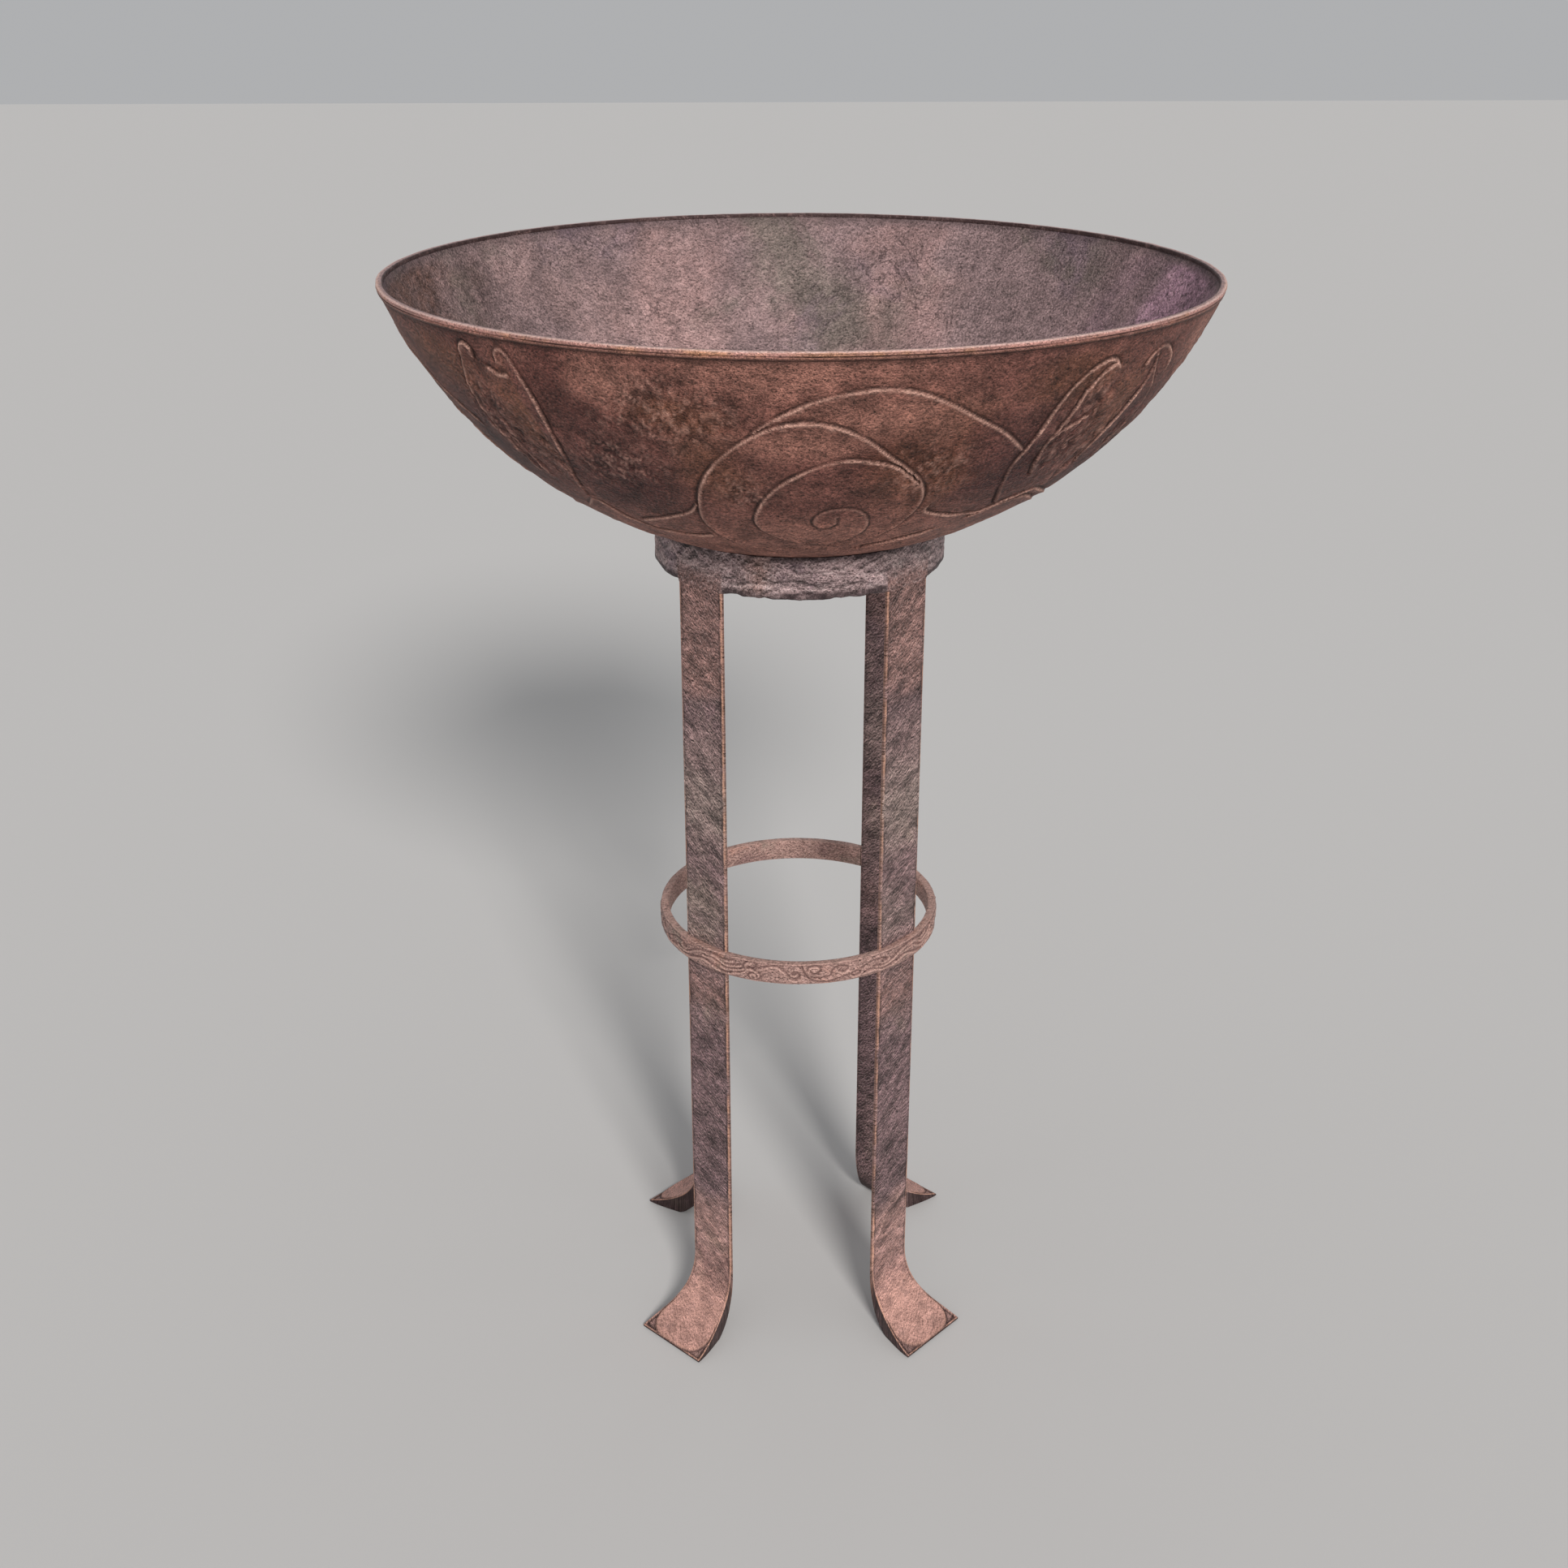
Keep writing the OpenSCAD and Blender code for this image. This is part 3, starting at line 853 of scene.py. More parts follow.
def innerSkin(place, radius, flat, marks):
    # the same for the inside, which has long soft dents and no lines
    x, y, z = place
    normal = bowlNormal(wallTurn(place, bowl["wall"]))
    into = -(flat * normal.x + Vector((0, 0, normal.y)))
    coarse = lumps(x, y, z * 0.6, hammering["broad"], 9.0)
    fine = abs(noiseAt(x, y, z * 0.5, 0.012, 3.0))
    belowLip = bowl["lipTop"] - z
    calm = smooth(0.083, 0.1, radius) * smooth(0.001, 0.01, belowLip)
    around = math.degrees(math.atan2(y, x)) + 12 * noiseAt(x, y, z, 0.03, 8.0)
    marks.note(
        dirt=0.5 * smooth(0.004, 0.001, belowLip),
        form=0.5 + 0.3 * coarse + 0.5 * (fine - 0.2),
        plum=0.95 * bump(around, 2, 17),
        # a darker brown on the left wall, partly patina and partly painted shade
        gold=0.9 * (bump(around, 177, 20) + bump(around, -177, 20)),
        rose=0.5 * (bump(around, 68, 7) + bump(around, 112, 9)) * smooth(0.66, 0.74, z),
    )
    return place + into * (hammering["insidePush"] * (coarse + fine) * calm * millimetre)


def makeFireBowl():
    field = bowlLines()
    bm = spun(bowlProfile(), bowl["turns"])
    refineNear(bm, field, 3.0, 0.45)
    refineNear(bm, field, 1.5, 2.0)
    marks = Marks("worn", "dirt", "form", "gold", "plum", "rose")
    for vert in bm.verts:
        place = vert.co.copy()
        radius, flat = awayFromAxis(place)
        if isOutside(place):
            vert.co = outerSkin(place, flat, field, marks)
        elif radius > bowl["throatRadius"] + 0.0005 and place.z < bowl["lipTop"] - 1e-5:
            vert.co = innerSkin(place, radius, flat, marks)
        else:
            marks.note(dirt=0.5, form=0.5)
    bmesh.ops.recalc_face_normals(bm, faces=bm.faces)
    skins = [0 if isOutside(face.calc_center_median()) else 1 for face in bm.faces]
    print("fire bowl:", sum(len(face.verts) - 2 for face in bm.faces), "triangles")
    piece = addPiece("hammeredFireBowl", bm, bowlOutsideMetal, "bowl", ["fire_bowl"])
    piece.data.materials.append(bowlInsideMetal)
    piece.data.polygons.foreach_set("material_index", skins)
    marks.put(piece.data)


makeFireBowl()


# rim band

band = {"width": 0.0048, "turns": 420, "grooveDrop": 0.0028}


def makeRimBand():
    outer = bowl["rimRadius"]
    top = bowl["rimHeight"]
    foot = rimLow.z
    inner = outer - band["width"]
    footRadius = bowlPoint(turnAtHeight(foot))[0] + 0.001
    lipRadius = bowlPoint(turnAtHeight(foot))[0] - bowl["lipInset"] + 0.00005
    lean = (outer - footRadius) / (top - foot)
    grooveHeight = top - band["grooveDrop"]
    profile = [
        (lipRadius, foot), (footRadius - 0.0003, foot), (footRadius, foot + 0.0003),
    ]
    groove = band["grooveDrop"]
    for drop, dip in ((groove + 0.0009, 0.0), (groove + 0.0004, 0.0001), (groove + 0.0002, 0.0006),
                      (groove - 0.0001, 0.0006), (groove - 0.0003, 0.0), (0.0018, -0.0001),
                      (0.0012, 0.0), (0.0006, 0.0002), (0.0002, 0.0006)):
        profile.append((outer - lean * drop - dip, top - drop))
    profile += [
        (outer - 0.0012, top), (outer - 0.0024, top + 0.0001), (outer - 0.0036, top),
        (inner + 0.0005, top - 0.0001), (inner + 0.0001, top - 0.0005), (inner, top - 0.0012),
        (inner, bowl["lipTop"] + 0.00005), (lipRadius, bowl["lipTop"] + 0.00005),
    ]
    bm = spun(profile, band["turns"])
    marks = Marks("worn", "dirt", "lip", "under")
    for vert in bm.verts:
        x, y, z = vert.co
        radius, flat = awayFromAxis(vert.co)
        wave = 0.3 * lumps(x, y, z, 0.016, 11.0, 2) * millimetre
        if radius > lipRadius + 0.0004 or z > bowl["lipTop"] + 0.0005:
            vert.co = vert.co + flat * wave + Vector((0, 0, 0.4 * wave))
        onFace = smooth(outer - 0.0022, outer - 0.0014, radius + (top - z) * lean)
        drop = (top - z) / millimetre
        # dark lines round the face, each broken in its own places
        grooveLine = 0.95 * bump((grooveHeight - z) / millimetre, 0.05, 0.45) \
            * smooth(-0.4, 0.1, noiseAt(x, y, 0, 0.07, 14.0))
        upperLine = 0.55 * bump(drop, 1.2, 0.4) * smooth(-0.1, 0.3, noiseAt(x, y, 0, 0.05, 3.0))
        footLine = 0.8 * smooth(0.0008, 0.0002, z - foot)
        innerLine = smooth(inner + 0.0013, inner + 0.0006, radius)
        marks.note(
            worn=0.9 * bump(drop, 0.1, 0.45) * smooth(outer - 0.002, outer - 0.001, radius),
            dirt=(grooveLine + upperLine + footLine) * onFace + innerLine,
            lip=(1 - onFace),
            under=0.9 * smooth(groove + 0.0001, groove + 0.0006, top - z) * onFace,
        )
    bmesh.ops.recalc_face_normals(bm, faces=bm.faces)
    piece = addPiece("brightRimBand", bm, rimMetal, "bowl", ["rim_band"], 70)
    marks.put(piece.data)
    print("rim band:", len(piece.data.polygons), "faces")


makeRimBand()


# marks that the hammer left along a bar

def handOf(angle):
    # 1 for one diagonal pair of legs, -1 for the mirrored pair
    return 1 if math.sin(math.radians(2 * angle)) > 0 else -1


def seedOf(angle):
    # each leg has hammer marks of its own
    return angle / 17


def barHammer(side, height, seed):
    # oblique hammer marks, about 1 mm deep for a value of 1
    along = (side - height) * math.sqrt(0.5)
    across = (side + height) * math.sqrt(0.5)
    broad = noiseAt(along * 0.7, across, seed, 0.014, seed)
    narrow = noiseAt(along * 0.7, across, seed, 0.0085, seed + 3)
    tiny = noiseAt(along * 0.8, across, seed, 0.0045, seed + 6)
    crest = 0.3 - abs(noiseAt(along * 0.65, across, seed, 0.011, seed + 9)) * 1.6
    return 0.42 * broad + 0.3 * narrow + 0.2 * tiny + 0.35 * crest


# collar

collarLow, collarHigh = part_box("collar_ring")
collar = {
    "outer": (collarHigh.x - collarLow.x) / 2,
    "thickness": 0.012,
    "bottom": collarLow.z,
    "seatGap": 0.0001,
    "turns": 420,
    "rows": 20,
    "legFace": 0.0984,        # the collar's skin closes over the legs' ends
    "legHalfWidth": 0.020,
}


def collarRelief(x, y, z):
    # hammered forms drawn out round the collar, with creases between them, about 1 mm for a value of 1
    broad = lumps(x * 0.7, y * 0.7, z * 1.3, 0.020, 21.0, 2)
    fold = noiseAt(x * 0.5, y * 0.5, z * 1.5, 0.011, 33.0)
    small = noiseAt(x * 0.7, y * 0.7, z * 1.4, 0.0055, 5.0)
    return 0.8 * broad + 0.5 * smooth(0.0, 0.22, abs(fold)) + 0.35 * small - 0.3


def makeCollar():
    outer = collar["outer"]
    inner = outer - collar["thickness"]
    bottom = collar["bottom"]

    def seat(radius):
        return bowlPoint(turnAtRadius(radius))[1] - collar["seatGap"]

    profile = [(inner, bottom + 0.001), (inner + 0.001, bottom)]
    profile += [(inner + 0.001 + (outer - inner - 0.004) * i / 4, bottom) for i in range(1, 5)]
    for i in range(1, 6):
        angle = math.radians(90 * i / 5)
        profile.append((outer - 0.003 + 0.003 * math.sin(angle), bottom + 0.003 - 0.003 * math.cos(angle)))
    top = seat(outer) - 0.0004
    rows = collar["rows"]
    profile += [(outer, bottom + 0.003 + (top - bottom - 0.003) * i / rows) for i in range(1, rows + 1)]
    seatRadii = [outer - (outer - inner) * i / 6 for i in range(1, 7)]
    profile += [(radius, seat(radius)) for radius in seatRadii]
    profile += [(inner, seat(inner) + (bottom + 0.001 - seat(inner)) * i / 6) for i in range(1, 6)]
    bm = spun(profile, collar["turns"])
    marks = Marks("worn", "dirt", "form", "rose")
    for vert in bm.verts:
        x, y, z = vert.co
        radius, flat = awayFromAxis(vert.co)
        rough = collarRelief(x, y, z)
        fine = lumps(x, y, z, 0.0075, 8.0, 2)
        lean = collarRelief(x, y, z - 0.0009) - collarRelief(x, y, z + 0.0009)
        outside = smooth(inner + 0.004, outer - 0.001, radius)
        rise = (z - bottom) / millimetre
        low = smooth(4, 0, rise)
        high = smooth(top - 0.004, top - 0.001, z)
        push = 1.1 * rough * outside * (1 - high) - 0.3 * low * outside
        drop = -(0.9 * rough + 0.9 * fine) * low * outside
        place = vert.co + flat * (push * millimetre)
        hold = 0.0
        # the skin flows down into the faces of the four legs
        for angle in legAngles.values():
            away = levelAt(angle)
            reach = place.dot(away)
            if reach < 0.095:
                continue
            side = place.y * away.x - place.x * away.y
            within = smooth(collar["legHalfWidth"] + 0.0022, collar["legHalfWidth"] - 0.0002, abs(side))
            under = smooth(bottom + 0.021, bottom + 0.004, place.z)
            skin = collar["legFace"] + barHammer(side * handOf(angle), place.z, seedOf(angle)) * millimetre
            place += away * ((skin - reach) * within * under)
            hold = max(hold, within * under)
            drop *= 1 - within
        vert.co = place + Vector((0, 0, drop * millimetre))
        torn = smooth(-0.35, 0.1, noiseAt(x, y, 0, 0.013, 41.0))
        # painted highlight on faces that look up and on a band just above the lower edge
        crests = 0.7 * smooth(0.15, 0.7, lean + 0.4 * rough) + 0.5 * bump(rise, 7.6, 0.9) * torn
        # painted shadow along the lower edge
        lowEdge = smooth(6.0, 4.9, rise) * (0.6 + 0.4 * torn)
        # painted shade on faces that look down
        creases = 0.6 * smooth(0.25, 0.7, -lean)
        # painted shadow in the band under the bowl
        topBand = high * smooth(-0.5, 0.1, fine + rough)
        marks.note(
            worn=crests * outside * (1 - hold),
            # the inner faces are painted dark as shade
            dirt=(topBand + (lowEdge + creases) * (1 - hold)) * outside + 0.5 * (1 - outside),
            form=0.5 + (0.28 * rough + 0.42 * lean) * (1 - 0.6 * hold),
            rose=hold + 0.4 * smooth(0.2, 0.6, noiseAt(x, y, z, 0.05, 2.0)),
        )
    bmesh.ops.recalc_face_normals(bm, faces=bm.faces)
    piece = addPiece("hammeredCollar", bm, collarMetal, "stand", ["collar_ring"], 80)
    marks.put(piece.data)
    print("collar:", len(piece.data.polygons), "faces")


makeCollar()


# legs

leg = {
    "width": 0.040,
    "thickness": 0.003,
    "outerFace": 0.0983,
    "top": 0.632,
    "footRise": 0.056,
    "toeReach": 0.1455,
    "toeWidth": 0.062,
    "toeThickness": 0.003,
    "heelReach": 0.116,
    "heelEnd": 0.62,          # share of the sole's rows that go round the heel
    "columns": 44,
    "straightRows": 400,
    "footRows": 110,
    "edgeRound": 0.0008,
    "sideCuts": 3,
    "padInset": 0.0016,
    "padCorner": 0.019,
    "footLength": 0.085,      # measured along the upper face
    "lightStep": 0.0013,      # how far apart the dents are felt for the light on them
}


def topCurve(t):
    # radius and height of the foot's upper face
    face, rise = leg["outerFace"], leg["footRise"]
    return bezier((face, rise), (face, rise / 2), (face + 0.0137, 0.015),
                  (leg["toeReach"], leg["toeThickness"]), t)


def soleCurve(t):
    # radius and height of the foot's underside: round the heel, then flat to the toe
    face, rise = leg["outerFace"] - leg["thickness"], leg["footRise"]
    heelEnd = leg["heelEnd"]
    if t < heelEnd:
        return bezier((face, rise), (face, rise * 0.46), (face + 0.0057, 0.006),
                      (leg["heelReach"], 0.0), t / heelEnd)
    part = (t - heelEnd) / (1 - heelEnd)
    return leg["heelReach"] + (leg["toeReach"] - leg["heelReach"]) * part, 0.0


def halfWidthAt(radius):
    # how far the foot has spread at this radius
    start = leg["outerFace"] + 0.001
    t = min(1.0, max(0.0, (radius - start) / (leg["toeReach"] - start)))
    spread = 0.55 * t * t * (3 - 2 * t) + 0.45 * t ** 0.8
    return leg["width"] / 2 + (leg["toeWidth"] - leg["width"]) / 2 * spread


def padDistance(radius, side, half):
    # distance inside the raised pad's rounded outline; negative outside it
    corner = leg["padCorner"]
    x = abs(side) - (half - leg["padInset"] - corner)
    y = radius - (leg["toeReach"] - 0.0006 - corner)
    outside = math.hypot(max(x, 0), max(y, 0)) + min(max(x, y), 0)
    return corner - outside


def barSection(down):
    # the section this far down: its outer and inner point, how far along the foot it lies,
    # and its height, which runs on below the floor along the foot
    straightPart = leg["straightRows"] / (leg["straightRows"] + leg["footRows"])
    if down <= straightPart:
        face = leg["outerFace"]
        height = leg["top"] + (leg["footRise"] - leg["top"]) * down / straightPart
        return (face, height), (face - leg["thickness"], height), 0.0, height
    t = (down - straightPart) / (1 - straightPart)
    return topCurve(t), soleCurve(t), t, leg["footRise"] - leg["footLength"] * t


def barDents(side, length, seed):
    # the hammer's height here, and its painted light and shade: faces that look up are
    # painted lighter, the undersides of the dents darker
    step = leg["lightStep"]
    hammer = barHammer(side, length, seed)
    above = barHammer(side, length + step, seed)
    below = barHammer(side, length - step, seed)
    return hammer, 0.5 + 0.4 * hammer + 0.55 * (below - above)


def barTints(side, length, t, seed):
    # the heights at which the metal has changed colour
    level = length + 0.012 * noiseAt(side, length, seed, 0.02, seed)
    rose = smooth(0.522, 0.535, level) + 0.8 * bump(level, 0.30, 0.016)
    ash = 0.9 * bump(level, 0.45, 0.035) + 0.5 * bump(level, 0.36, 0.02)
    plum = smooth(0.285, 0.25, level) * smooth(0.105, 0.125, level)
    plum += 0.7 * bump(level, 0.522, 0.012) + 0.6 * bump(level, 0.40, 0.012)
    peach = 0.4 * smooth(0.125, 0.092, level) + 0.6 * smooth(0.0, 0.6, t)
    return rose, ash, plum, peach


def footPad(radius, side, half, fromEdge, t):
    # the raised pad on the foot: its sunk corners, its rim, its dark lines and the bright
    # outline of the corners
    inside = padDistance(radius, side, half) / millimetre
    onFoot = smooth(0.55, 0.75, t)
    corner = smooth(0.2, -0.9, inside) * onFoot
    rim = bump(inside, 0.9, 0.8) * onFoot
    toEdge = min(fromEdge, (leg["toeReach"] - radius) / millimetre)
    outline = corner * smooth(1.4, 0.5, toEdge)
    dark = onFoot * max(bump(inside, -0.4, 0.6), corner * bump(toEdge, 2.1, 0.6))
    return corner, rim, dark, outline


def makeLeg(name, node, angle):
    bm = bmesh.new()
    rows = leg["straightRows"] + leg["footRows"]
    bmesh.ops.create_grid(bm, x_segments=leg["columns"], y_segments=rows, size=1)
    made = bmesh.ops.extrude_face_region(bm, geom=list(bm.faces))
    back = [item for item in made["geom"] if isinstance(item, bmesh.types.BMVert)]
    bmesh.ops.translate(bm, verts=back, vec=(0, 0, -1))
    joins = [edge for edge in bm.edges if abs(edge.verts[0].co.z - edge.verts[1].co.z) > 0.5]
    bmesh.ops.subdivide_edges(bm, edges=joins, cuts=leg["sideCuts"])
    turn = Matrix.Rotation(math.radians(angle), 3, "Z")
    seed = seedOf(angle)
    mirror = handOf(angle)
    marks = Marks("worn", "dirt", "form", "rose", "ash", "plum", "peach")
    places = []
    soft = leg["edgeRound"] / millimetre
    for vert in bm.verts:
        across, down = vert.co.x, (1 - vert.co.y) / 2
        depth = -vert.co.z        # 0 on the outer face, 1 on the inner face
        isBack = depth > 0.99
        isSide = 0.01 < depth < 0.99
        # columns crowd towards the two long edges
        across = math.sin(across * math.pi / 2) * 0.5 + across * 0.5
        outerPoint, innerPoint, t, length = barSection(down)
        through = Vector((outerPoint[0] - innerPoint[0], 0, outerPoint[1] - innerPoint[1]))
        outward = through.normalized()
        # on the bar's edge the first row lies close to the outer face
        rounding = leg["edgeRound"] / through.length
        share = rounding + (1 - 2 * rounding) * depth ** 2 if isSide else float(isBack)
        radius = outerPoint[0] - through.x * share
        height = outerPoint[1] - through.z * share
        half = halfWidthAt(radius)
        side = across * half
        fromEdge = (half - abs(side)) / millimetre
        away = min(fromEdge, (leg["toeReach"] - radius) / millimetre) if t > 0.8 else fromEdge
        pull = soft * (1 - math.sqrt(1 - (1 - min(1, away / soft)) ** 2)) if away < soft else 0.0
        place = Vector((radius, side, height))
        hammer, form = barDents(side * mirror, length, seed)
        rose, ash, plum, peach = barTints(side, length, t, seed)
        if isSide:
            onFoot = smooth(0.15, 0.4, t)
            patchy = 0.75 + 0.9 * noiseAt(side, length, seed, 0.02, seed + 13)
            marks.note(
                worn=0.45 * patchy * (1 - onFoot), dirt=0.3 + 0.65 * onFoot,
                form=form, rose=rose, ash=ash, plum=plum,
            )
        elif isBack:
            rub = 0.7 * hammer * smooth(0, 3, fromEdge) * (1 - smooth(0.3, 0.5, t))
            place += outward * ((pull + max(rub, -0.35)) * millimetre)
            marks.note(
                worn=0.5 * smooth(1.2, 0.6, fromEdge) * (1 - smooth(0.2, 0.5, t)),
                # painted shade on the foot's underside, and a dark line near each edge
                dirt=0.95 * smooth(0.15, 0.4, t) + 0.5 * bump(fromEdge, 2.0, 0.6),
                form=form, rose=0.5 * rose, ash=0.7 * ash, plum=plum + 0.15,
            )
        else:
            flow = smooth(0, 2.5, fromEdge)
            calm = 1 - 0.8 * smooth(0.05, 0.5, t)
            lift = hammer * flow * calm
            lift -= 0.9 * smooth(collar["bottom"] + 0.001, collar["bottom"] + 0.003, length) * (t == 0)
            corner, rim, dark, outline = footPad(radius, side, half, fromEdge, t)
            lift += 0.35 * rim - 1.1 * corner + 0.9 * outline - 0.5 * dark
            place += outward * ((lift - pull) * millimetre)
            onBar = 1 - smooth(0.35, 0.6, t)
            patchy = 0.7 + 1.1 * noiseAt(side, length, seed, 0.014, seed + 13)
            seam = bump(fromEdge, 2.2, 0.6) * onBar * patchy
            edge = 0.9 * patchy * smooth(1.4, 0.9, fromEdge) * (1 - corner)
            marks.note(
                worn=max(edge, 0.3 * rim, 0.7 * outline),
                dirt=0.9 * seam + dark + 0.25 * corner * (1 - outline),
                form=0.5 + (form - 0.5) * (0.35 + 0.65 * calm),
                rose=rose, ash=ash, plum=plum, peach=peach * (1 - 0.6 * corner),
            )
        vert.co = turn @ place
        places.append((side * mirror, length))
    bmesh.ops.recalc_face_normals(bm, faces=bm.faces)
    bm.verts.index_update()
    layer = bm.loops.layers.uv.new("alongBar")
    for face in bm.faces:
        for loop in face.loops:
            loop[layer].uv = places[loop.vert.index]
    piece = addPiece(name, bm, legMetal, "stand", [node], 60)
    marks.put(piece.data)
    return piece


for node, angle in legAngles.items():
    legPiece = makeLeg("forged" + node.title().replace("_", ""), node, angle)
print("legs:", len(legPiece.data.polygons), "faces each")


# hoop

hoopLow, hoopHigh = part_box("brace_ring")
hoop = {
    "outer": (hoopHigh.x - hoopLow.x) / 2,
    "thickness": 0.006,
    "bottom": hoopLow.z,
    "top": hoopHigh.z,
    "turns": 1000,
    "rows": 24,
    "repeats": 4,
    "legFace": 0.09835,
}

# each line is (raised side, points of (degrees round, millimetres up the hoop))
hoopPattern = [
    (1, [(-52, 2.5), (-46, 5.5), (-43, 6), (-40, 4.5), (-36, 2.5), (-33, 1.6), (-28, 3.5), (-25, 5.5),
         (-23.5, 8), (-24.3, 11), (-23.3, 13.5), (-21.5, 14.3), (-19.8, 13.3), (-20.5, 11.5), (-22, 11.8)]),
    (1, [(-44, 9.5), (-39, 9.5), (-36, 7.5), (-33, 5.3), (-30, 5.8), (-26, 7.5), (-23, 9), (-21, 9),
         (-19, 7.5), (-17.8, 5), (-18.5, 2.7), (-20.3, 1.8), (-22, 3), (-21.8, 5), (-20, 5.5), (-19.3, 4.2)]),
    (1, [(-42, 12), (-38, 12.5), (-35, 10.5), (-32, 8.3), (-28, 9.5), (-25.5, 11)]),
    (1, [(-19, 9.5), (-16, 11.5), (-12.5, 13.3), (-10, 12.5), (-8, 9.5), (-6.5, 6.5), (-5.3, 4),
         (-3.7, 3), (-2.2, 4), (-1.3, 6.5), (-1.7, 9), (-3.2, 10.7), (-5, 10), (-5.3, 8), (-4, 7), (-3, 8)]),
    (-1, [(-0.5, 14), (0.8, 9), (2.5, 5), (5, 3), (9, 2.3), (14, 4), (19, 6.2), (23, 8.5), (26, 11),
          (29, 12.5), (33, 11.8), (36, 10.3), (36.5, 8.5), (34.5, 7.3), (32.8, 8.5), (33.3, 10)]),
    (-1, [(2, 7), (4, 6), (7, 6), (10, 7), (10.8, 10.5), (12.5, 13.3), (15.3, 13.8), (17.8, 12),
          (17.8, 9), (15.5, 7.5), (13.5, 9), (14.2, 11)]),
    (1, [(1.5, 10.5), (2.3, 13.2), (4.5, 13.8), (6, 12), (5.3, 9.8), (3.5, 9.2), (2.8, 11)]),
    (1, [(18.6, 5), (20, 2.7), (22.4, 2.8), (23.6, 5), (22.3, 7.3), (19.9, 7.3), (18.6, 5)]),
    (1, [(30, 6), (34, 5), (38, 6.5), (42, 10.3), (46, 12.5), (52, 12.8), (57, 11.5), (61, 13)]),
    (1, [(24, 3), (29, 4), (33, 2.4), (38, 2.8)]),
]


def hoopSurface(azimuth, height):
    # a place on the hoop's outer face; azimuth 0 faces the front
    flat = levelAt(azimuth - 90)
    return flat * hoop["outer"] + Vector((0, 0, hoop["bottom"] + height * millimetre)), flat


def makeHoop():
    outer, bottom, top = hoop["outer"], hoop["bottom"], hoop["top"]
    inner = outer - hoop["thickness"]
    lines = []
    for repeat in range(hoop["repeats"]):
        start = 360 * repeat / hoop["repeats"]
        for side, points in hoopPattern:
            lines.append(chased([(start + a, h) for a, h in flowing(points, 8)], side, hoopSurface))
    field = LineField(lines)
    soft = 0.0008
    profile = []
    for centreRadius, centreHeight, first in (
        (outer - soft, bottom + soft, -90), (outer - soft, top - soft, 0),
        (inner + soft, top - soft, 90), (inner + soft, bottom + soft, 180),
    ):
        for step in range(4):
            angle = math.radians(first + 30 * step)
            profile.append((centreRadius + soft * math.cos(angle), centreHeight + soft * math.sin(angle)))
        if first == -90:
            for row in range(1, hoop["rows"]):
                profile.append((outer, bottom + soft + (top - bottom - 2 * soft) * row / hoop["rows"]))
    bm = spun(profile, hoop["turns"])
    marks = Marks("worn", "dirt")
    for vert in bm.verts:
        x, y, z = vert.co
        radius, flat = awayFromAxis(vert.co)
        rough = 0.3 * lumps(x, y, z, 0.011, 31.0, 3)
        rise = (z - bottom) / millimetre
        ridge = groove = 0.0
        push = rough
        if radius > outer - 0.0005:
            signed, facing = field.near(vert.co)
            calm = smooth(0.4, 1.4, rise) * smooth(0.4, 1.4, 16 - rise)
            if abs(signed) < 5:
                push += (reliefAcross(signed * 1.25, 0.5, 0.45, 0.3)) * calm
                ridge = bump(signed, -0.55, 0.6) * calm * (0.65 + 0.4 * facing)
                groove = bump(signed, 0.9, 0.65) * calm * 0.85
            border = bump(rise, 14.9, 0.45) + 0.6 * bump(rise, 0.9, 0.4)
            push -= 0.25 * border
            groove = max(groove, 0.6 * border)
            place = vert.co + flat * (min(push, 0.9) * millimetre)
        else:
            place = vert.co + flat * (0.4 * rough * millimetre)
        for angle in legAngles.values():
            away = levelAt(angle)
            side = abs(place.x * away.y - place.y * away.x)
            reach = place.dot(away)
            if reach > 0 and side < 0.0206 and radius < inner + 0.001:
                place += away * max(0.0, hoop["legFace"] - reach) * smooth(0.0206, 0.0201, side)
        vert.co = place
        # painted highlight on the ridges, stronger where they face up, and on raised spots; painted shade in
        # low spots; the bright top and bottom edges are wear
        edge = max(bump(rise, 0.2, 0.5), bump(rise, 15.8, 0.5))
        marks.note(
            worn=max(ridge, 0.8 * edge, 0.4 * smooth(0.1, 0.4, rough)),
            dirt=groove + 0.4 * smooth(0.1, 0.35, -rough),
        )
    bmesh.ops.recalc_face_normals(bm, faces=bm.faces)
    piece = addPiece("scrolledHoop", bm, hoopMetal, "stand", ["brace_ring"], 60)
    marks.put(piece.data)
    print("hoop:", len(piece.data.polygons), "faces")


makeHoop()


# hidden ironwork: rounded copies of the plain nodes

ironwork = {
    "fire_grate": ("castGrate", "grate", sootIron, "hearth_iron", 0.0012),
    "air_throat": ("castThroat", "bowl", sootIron, "hearth_iron", 0.0006),
    "ash_gate": ("swingingGate", "gate", sootIron, "hearth_iron", 0.0006),
    "gate_pivot": ("gatePivotPin", "bowl", pinSteel, "pin_steel", 0.0003),
    "gate_stop": ("gateStopPeg", "bowl", pinSteel, "pin_steel", 0.0004),
    "throat_rivets": ("throatRivetHeads", "bowl", sootIron, "hearth_iron", 0.0003),
    "collar_rivets": ("collarRivetHeads", "stand", rivetMetal, "leg_metal", 0.0003),
    "brace_rivets": ("hoopRivetHeads", "stand", rivetMetal, "hoop_copper", 0.0003),
}


rivetCover = 0.0012      # how deep the hoop's rivets end below its relief, in metres


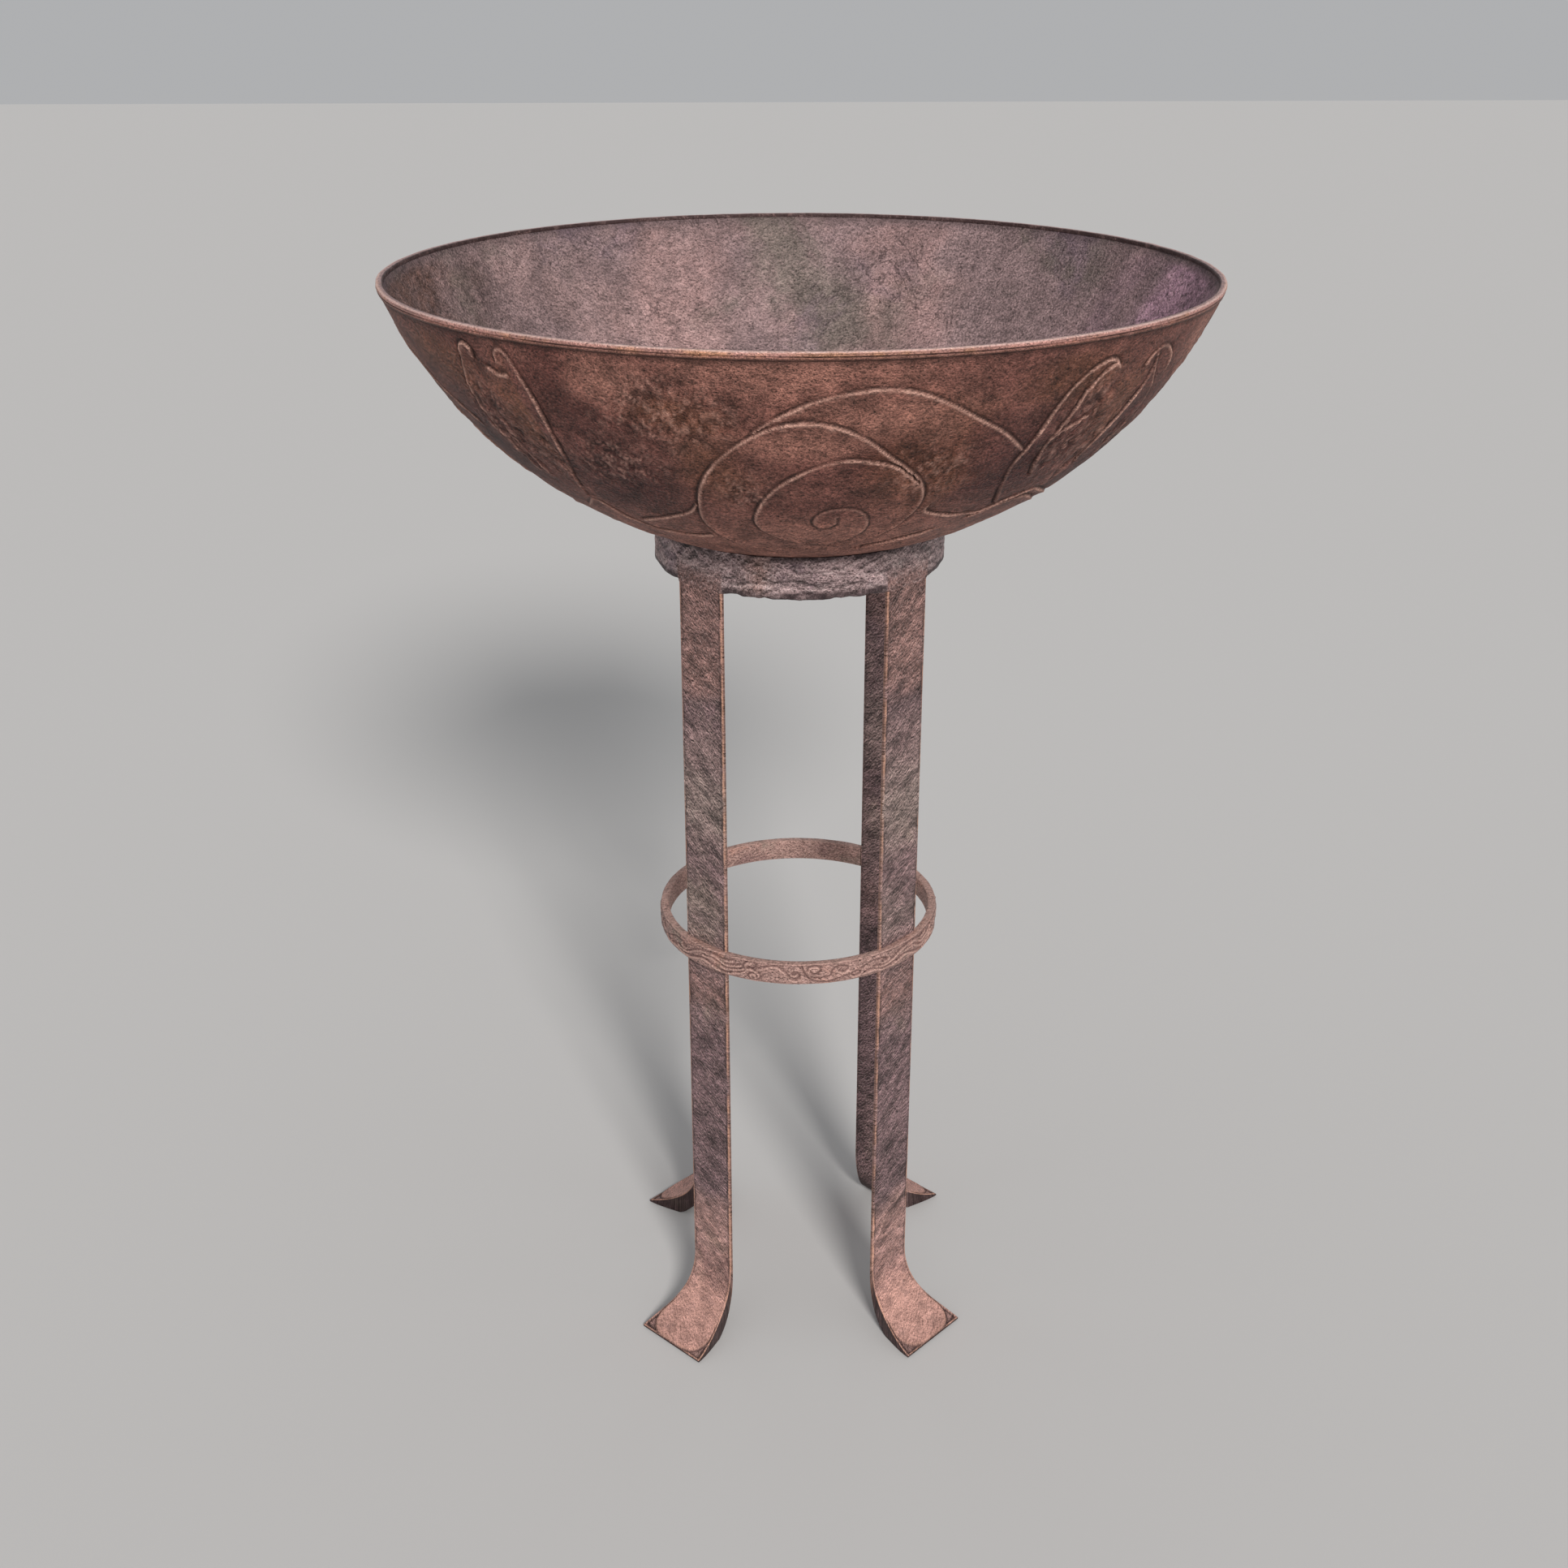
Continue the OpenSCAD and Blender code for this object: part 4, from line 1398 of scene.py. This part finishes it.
def softened(node, name, body, material, radius):
    # a copy of a node with its flats made whole and its edges rounded
    bm = bmesh.new()
    bm.from_mesh(nodes[node].data)
    bmesh.ops.remove_doubles(bm, verts=bm.verts, dist=1e-5)
    bmesh.ops.dissolve_limit(bm, angle_limit=math.radians(2), verts=bm.verts, edges=bm.edges)
    joined = [edge for edge in bm.edges if len(edge.link_faces) == 2]
    sharp = [edge for edge in joined if edge.calc_face_angle(0) > math.radians(35)]
    bmesh.ops.bevel(
        bm, geom=sharp, offset=radius, segments=2, profile=0.5,
        affect="EDGES", material=-1, clamp_overlap=True,
    )
    bmesh.ops.triangulate(bm, faces=[face for face in bm.faces if len(face.verts) > 4])
    if node == "brace_rivets":
        # their outer ends stay under the hoop's relief
        furthest = hoop["outer"] - rivetCover
        for vert in bm.verts:
            reach = math.hypot(vert.co.x, vert.co.y)
            if reach > furthest:
                vert.co.xy *= furthest / reach
    return addPiece(name, bm, material, body, [node], 40)


for node, (name, body, material, slot, radius) in ironwork.items():
    softened(node, name, body, material, radius)
print("ironwork made")


# floor, light and camera

view = {
    "distance": 1.27675,      # from the axis to the camera, level
    "height": 1.00491,
    "turn": -2.43,            # degrees round from straight in front
    "lean": 0.4885,           # degrees that the camera looks past the axis
    "tilt": 24.143,           # degrees below level
    "lens": 43.44,
}


def makeStage():
    bm = bmesh.new()
    bmesh.ops.create_grid(bm, x_segments=1, y_segments=1, size=12)
    mesh = bpy.data.meshes.new("studioFloor")
    bm.to_mesh(mesh)
    bm.free()
    floor = bpy.data.objects.new("studioFloor", mesh)
    bpy.context.scene.collection.objects.link(floor)
    paint = Paint("paleFloor")
    paint.set("Base Color", srgb(198, 197, 196))
    paint.set("Roughness", 0.85)
    mesh.materials.append(paint.material)


light = {
    "keyTurn": 12,            # degrees to the right of the camera's side
    "keyRise": 31,            # degrees above level
    "keyStrength": 2.8,
    "keySoftness": 14,
    "skyStrength": 0.46,
}


def makeLight():
    world = bpy.data.worlds.new("studioWorld")
    bpy.context.scene.world = world
    world.use_nodes = True
    background = world.node_tree.nodes["Background"]
    background.inputs["Color"].default_value = (0.93, 0.94, 0.96, 1)
    background.inputs["Strength"].default_value = light["skyStrength"]
    data = bpy.data.lights.new("keyLight", "SUN")
    data.energy = light["keyStrength"]
    data.angle = math.radians(light["keySoftness"])
    data.color = (1, 0.97, 0.94)
    lamp = bpy.data.objects.new("keyLight", data)
    bpy.context.scene.collection.objects.link(lamp)
    turn, rise = math.radians(light["keyTurn"]), math.radians(light["keyRise"])
    towards = Vector((math.sin(turn) * math.cos(rise), -math.cos(turn) * math.cos(rise), math.sin(rise)))
    lamp.location = towards * 3
    lamp.rotation_euler = towards.to_track_quat("Z", "Y").to_euler()


def makeCamera():
    data = bpy.data.cameras.new("frontCamera")
    data.lens = view["lens"]
    data.sensor_width = 36
    camera = bpy.data.objects.new("frontCamera", data)
    bpy.context.scene.collection.objects.link(camera)
    turn = math.radians(view["turn"])
    camera.location = (
        view["distance"] * math.sin(turn), -view["distance"] * math.cos(turn), view["height"]
    )
    camera.rotation_euler = (
        math.radians(90 - view["tilt"]), 0, math.radians(view["turn"] + view["lean"])
    )
    bpy.context.scene.camera = camera


makeStage()
makeLight()
makeCamera()
bpy.context.scene.view_settings.view_transform = "Standard"
print("stage, light and camera made")
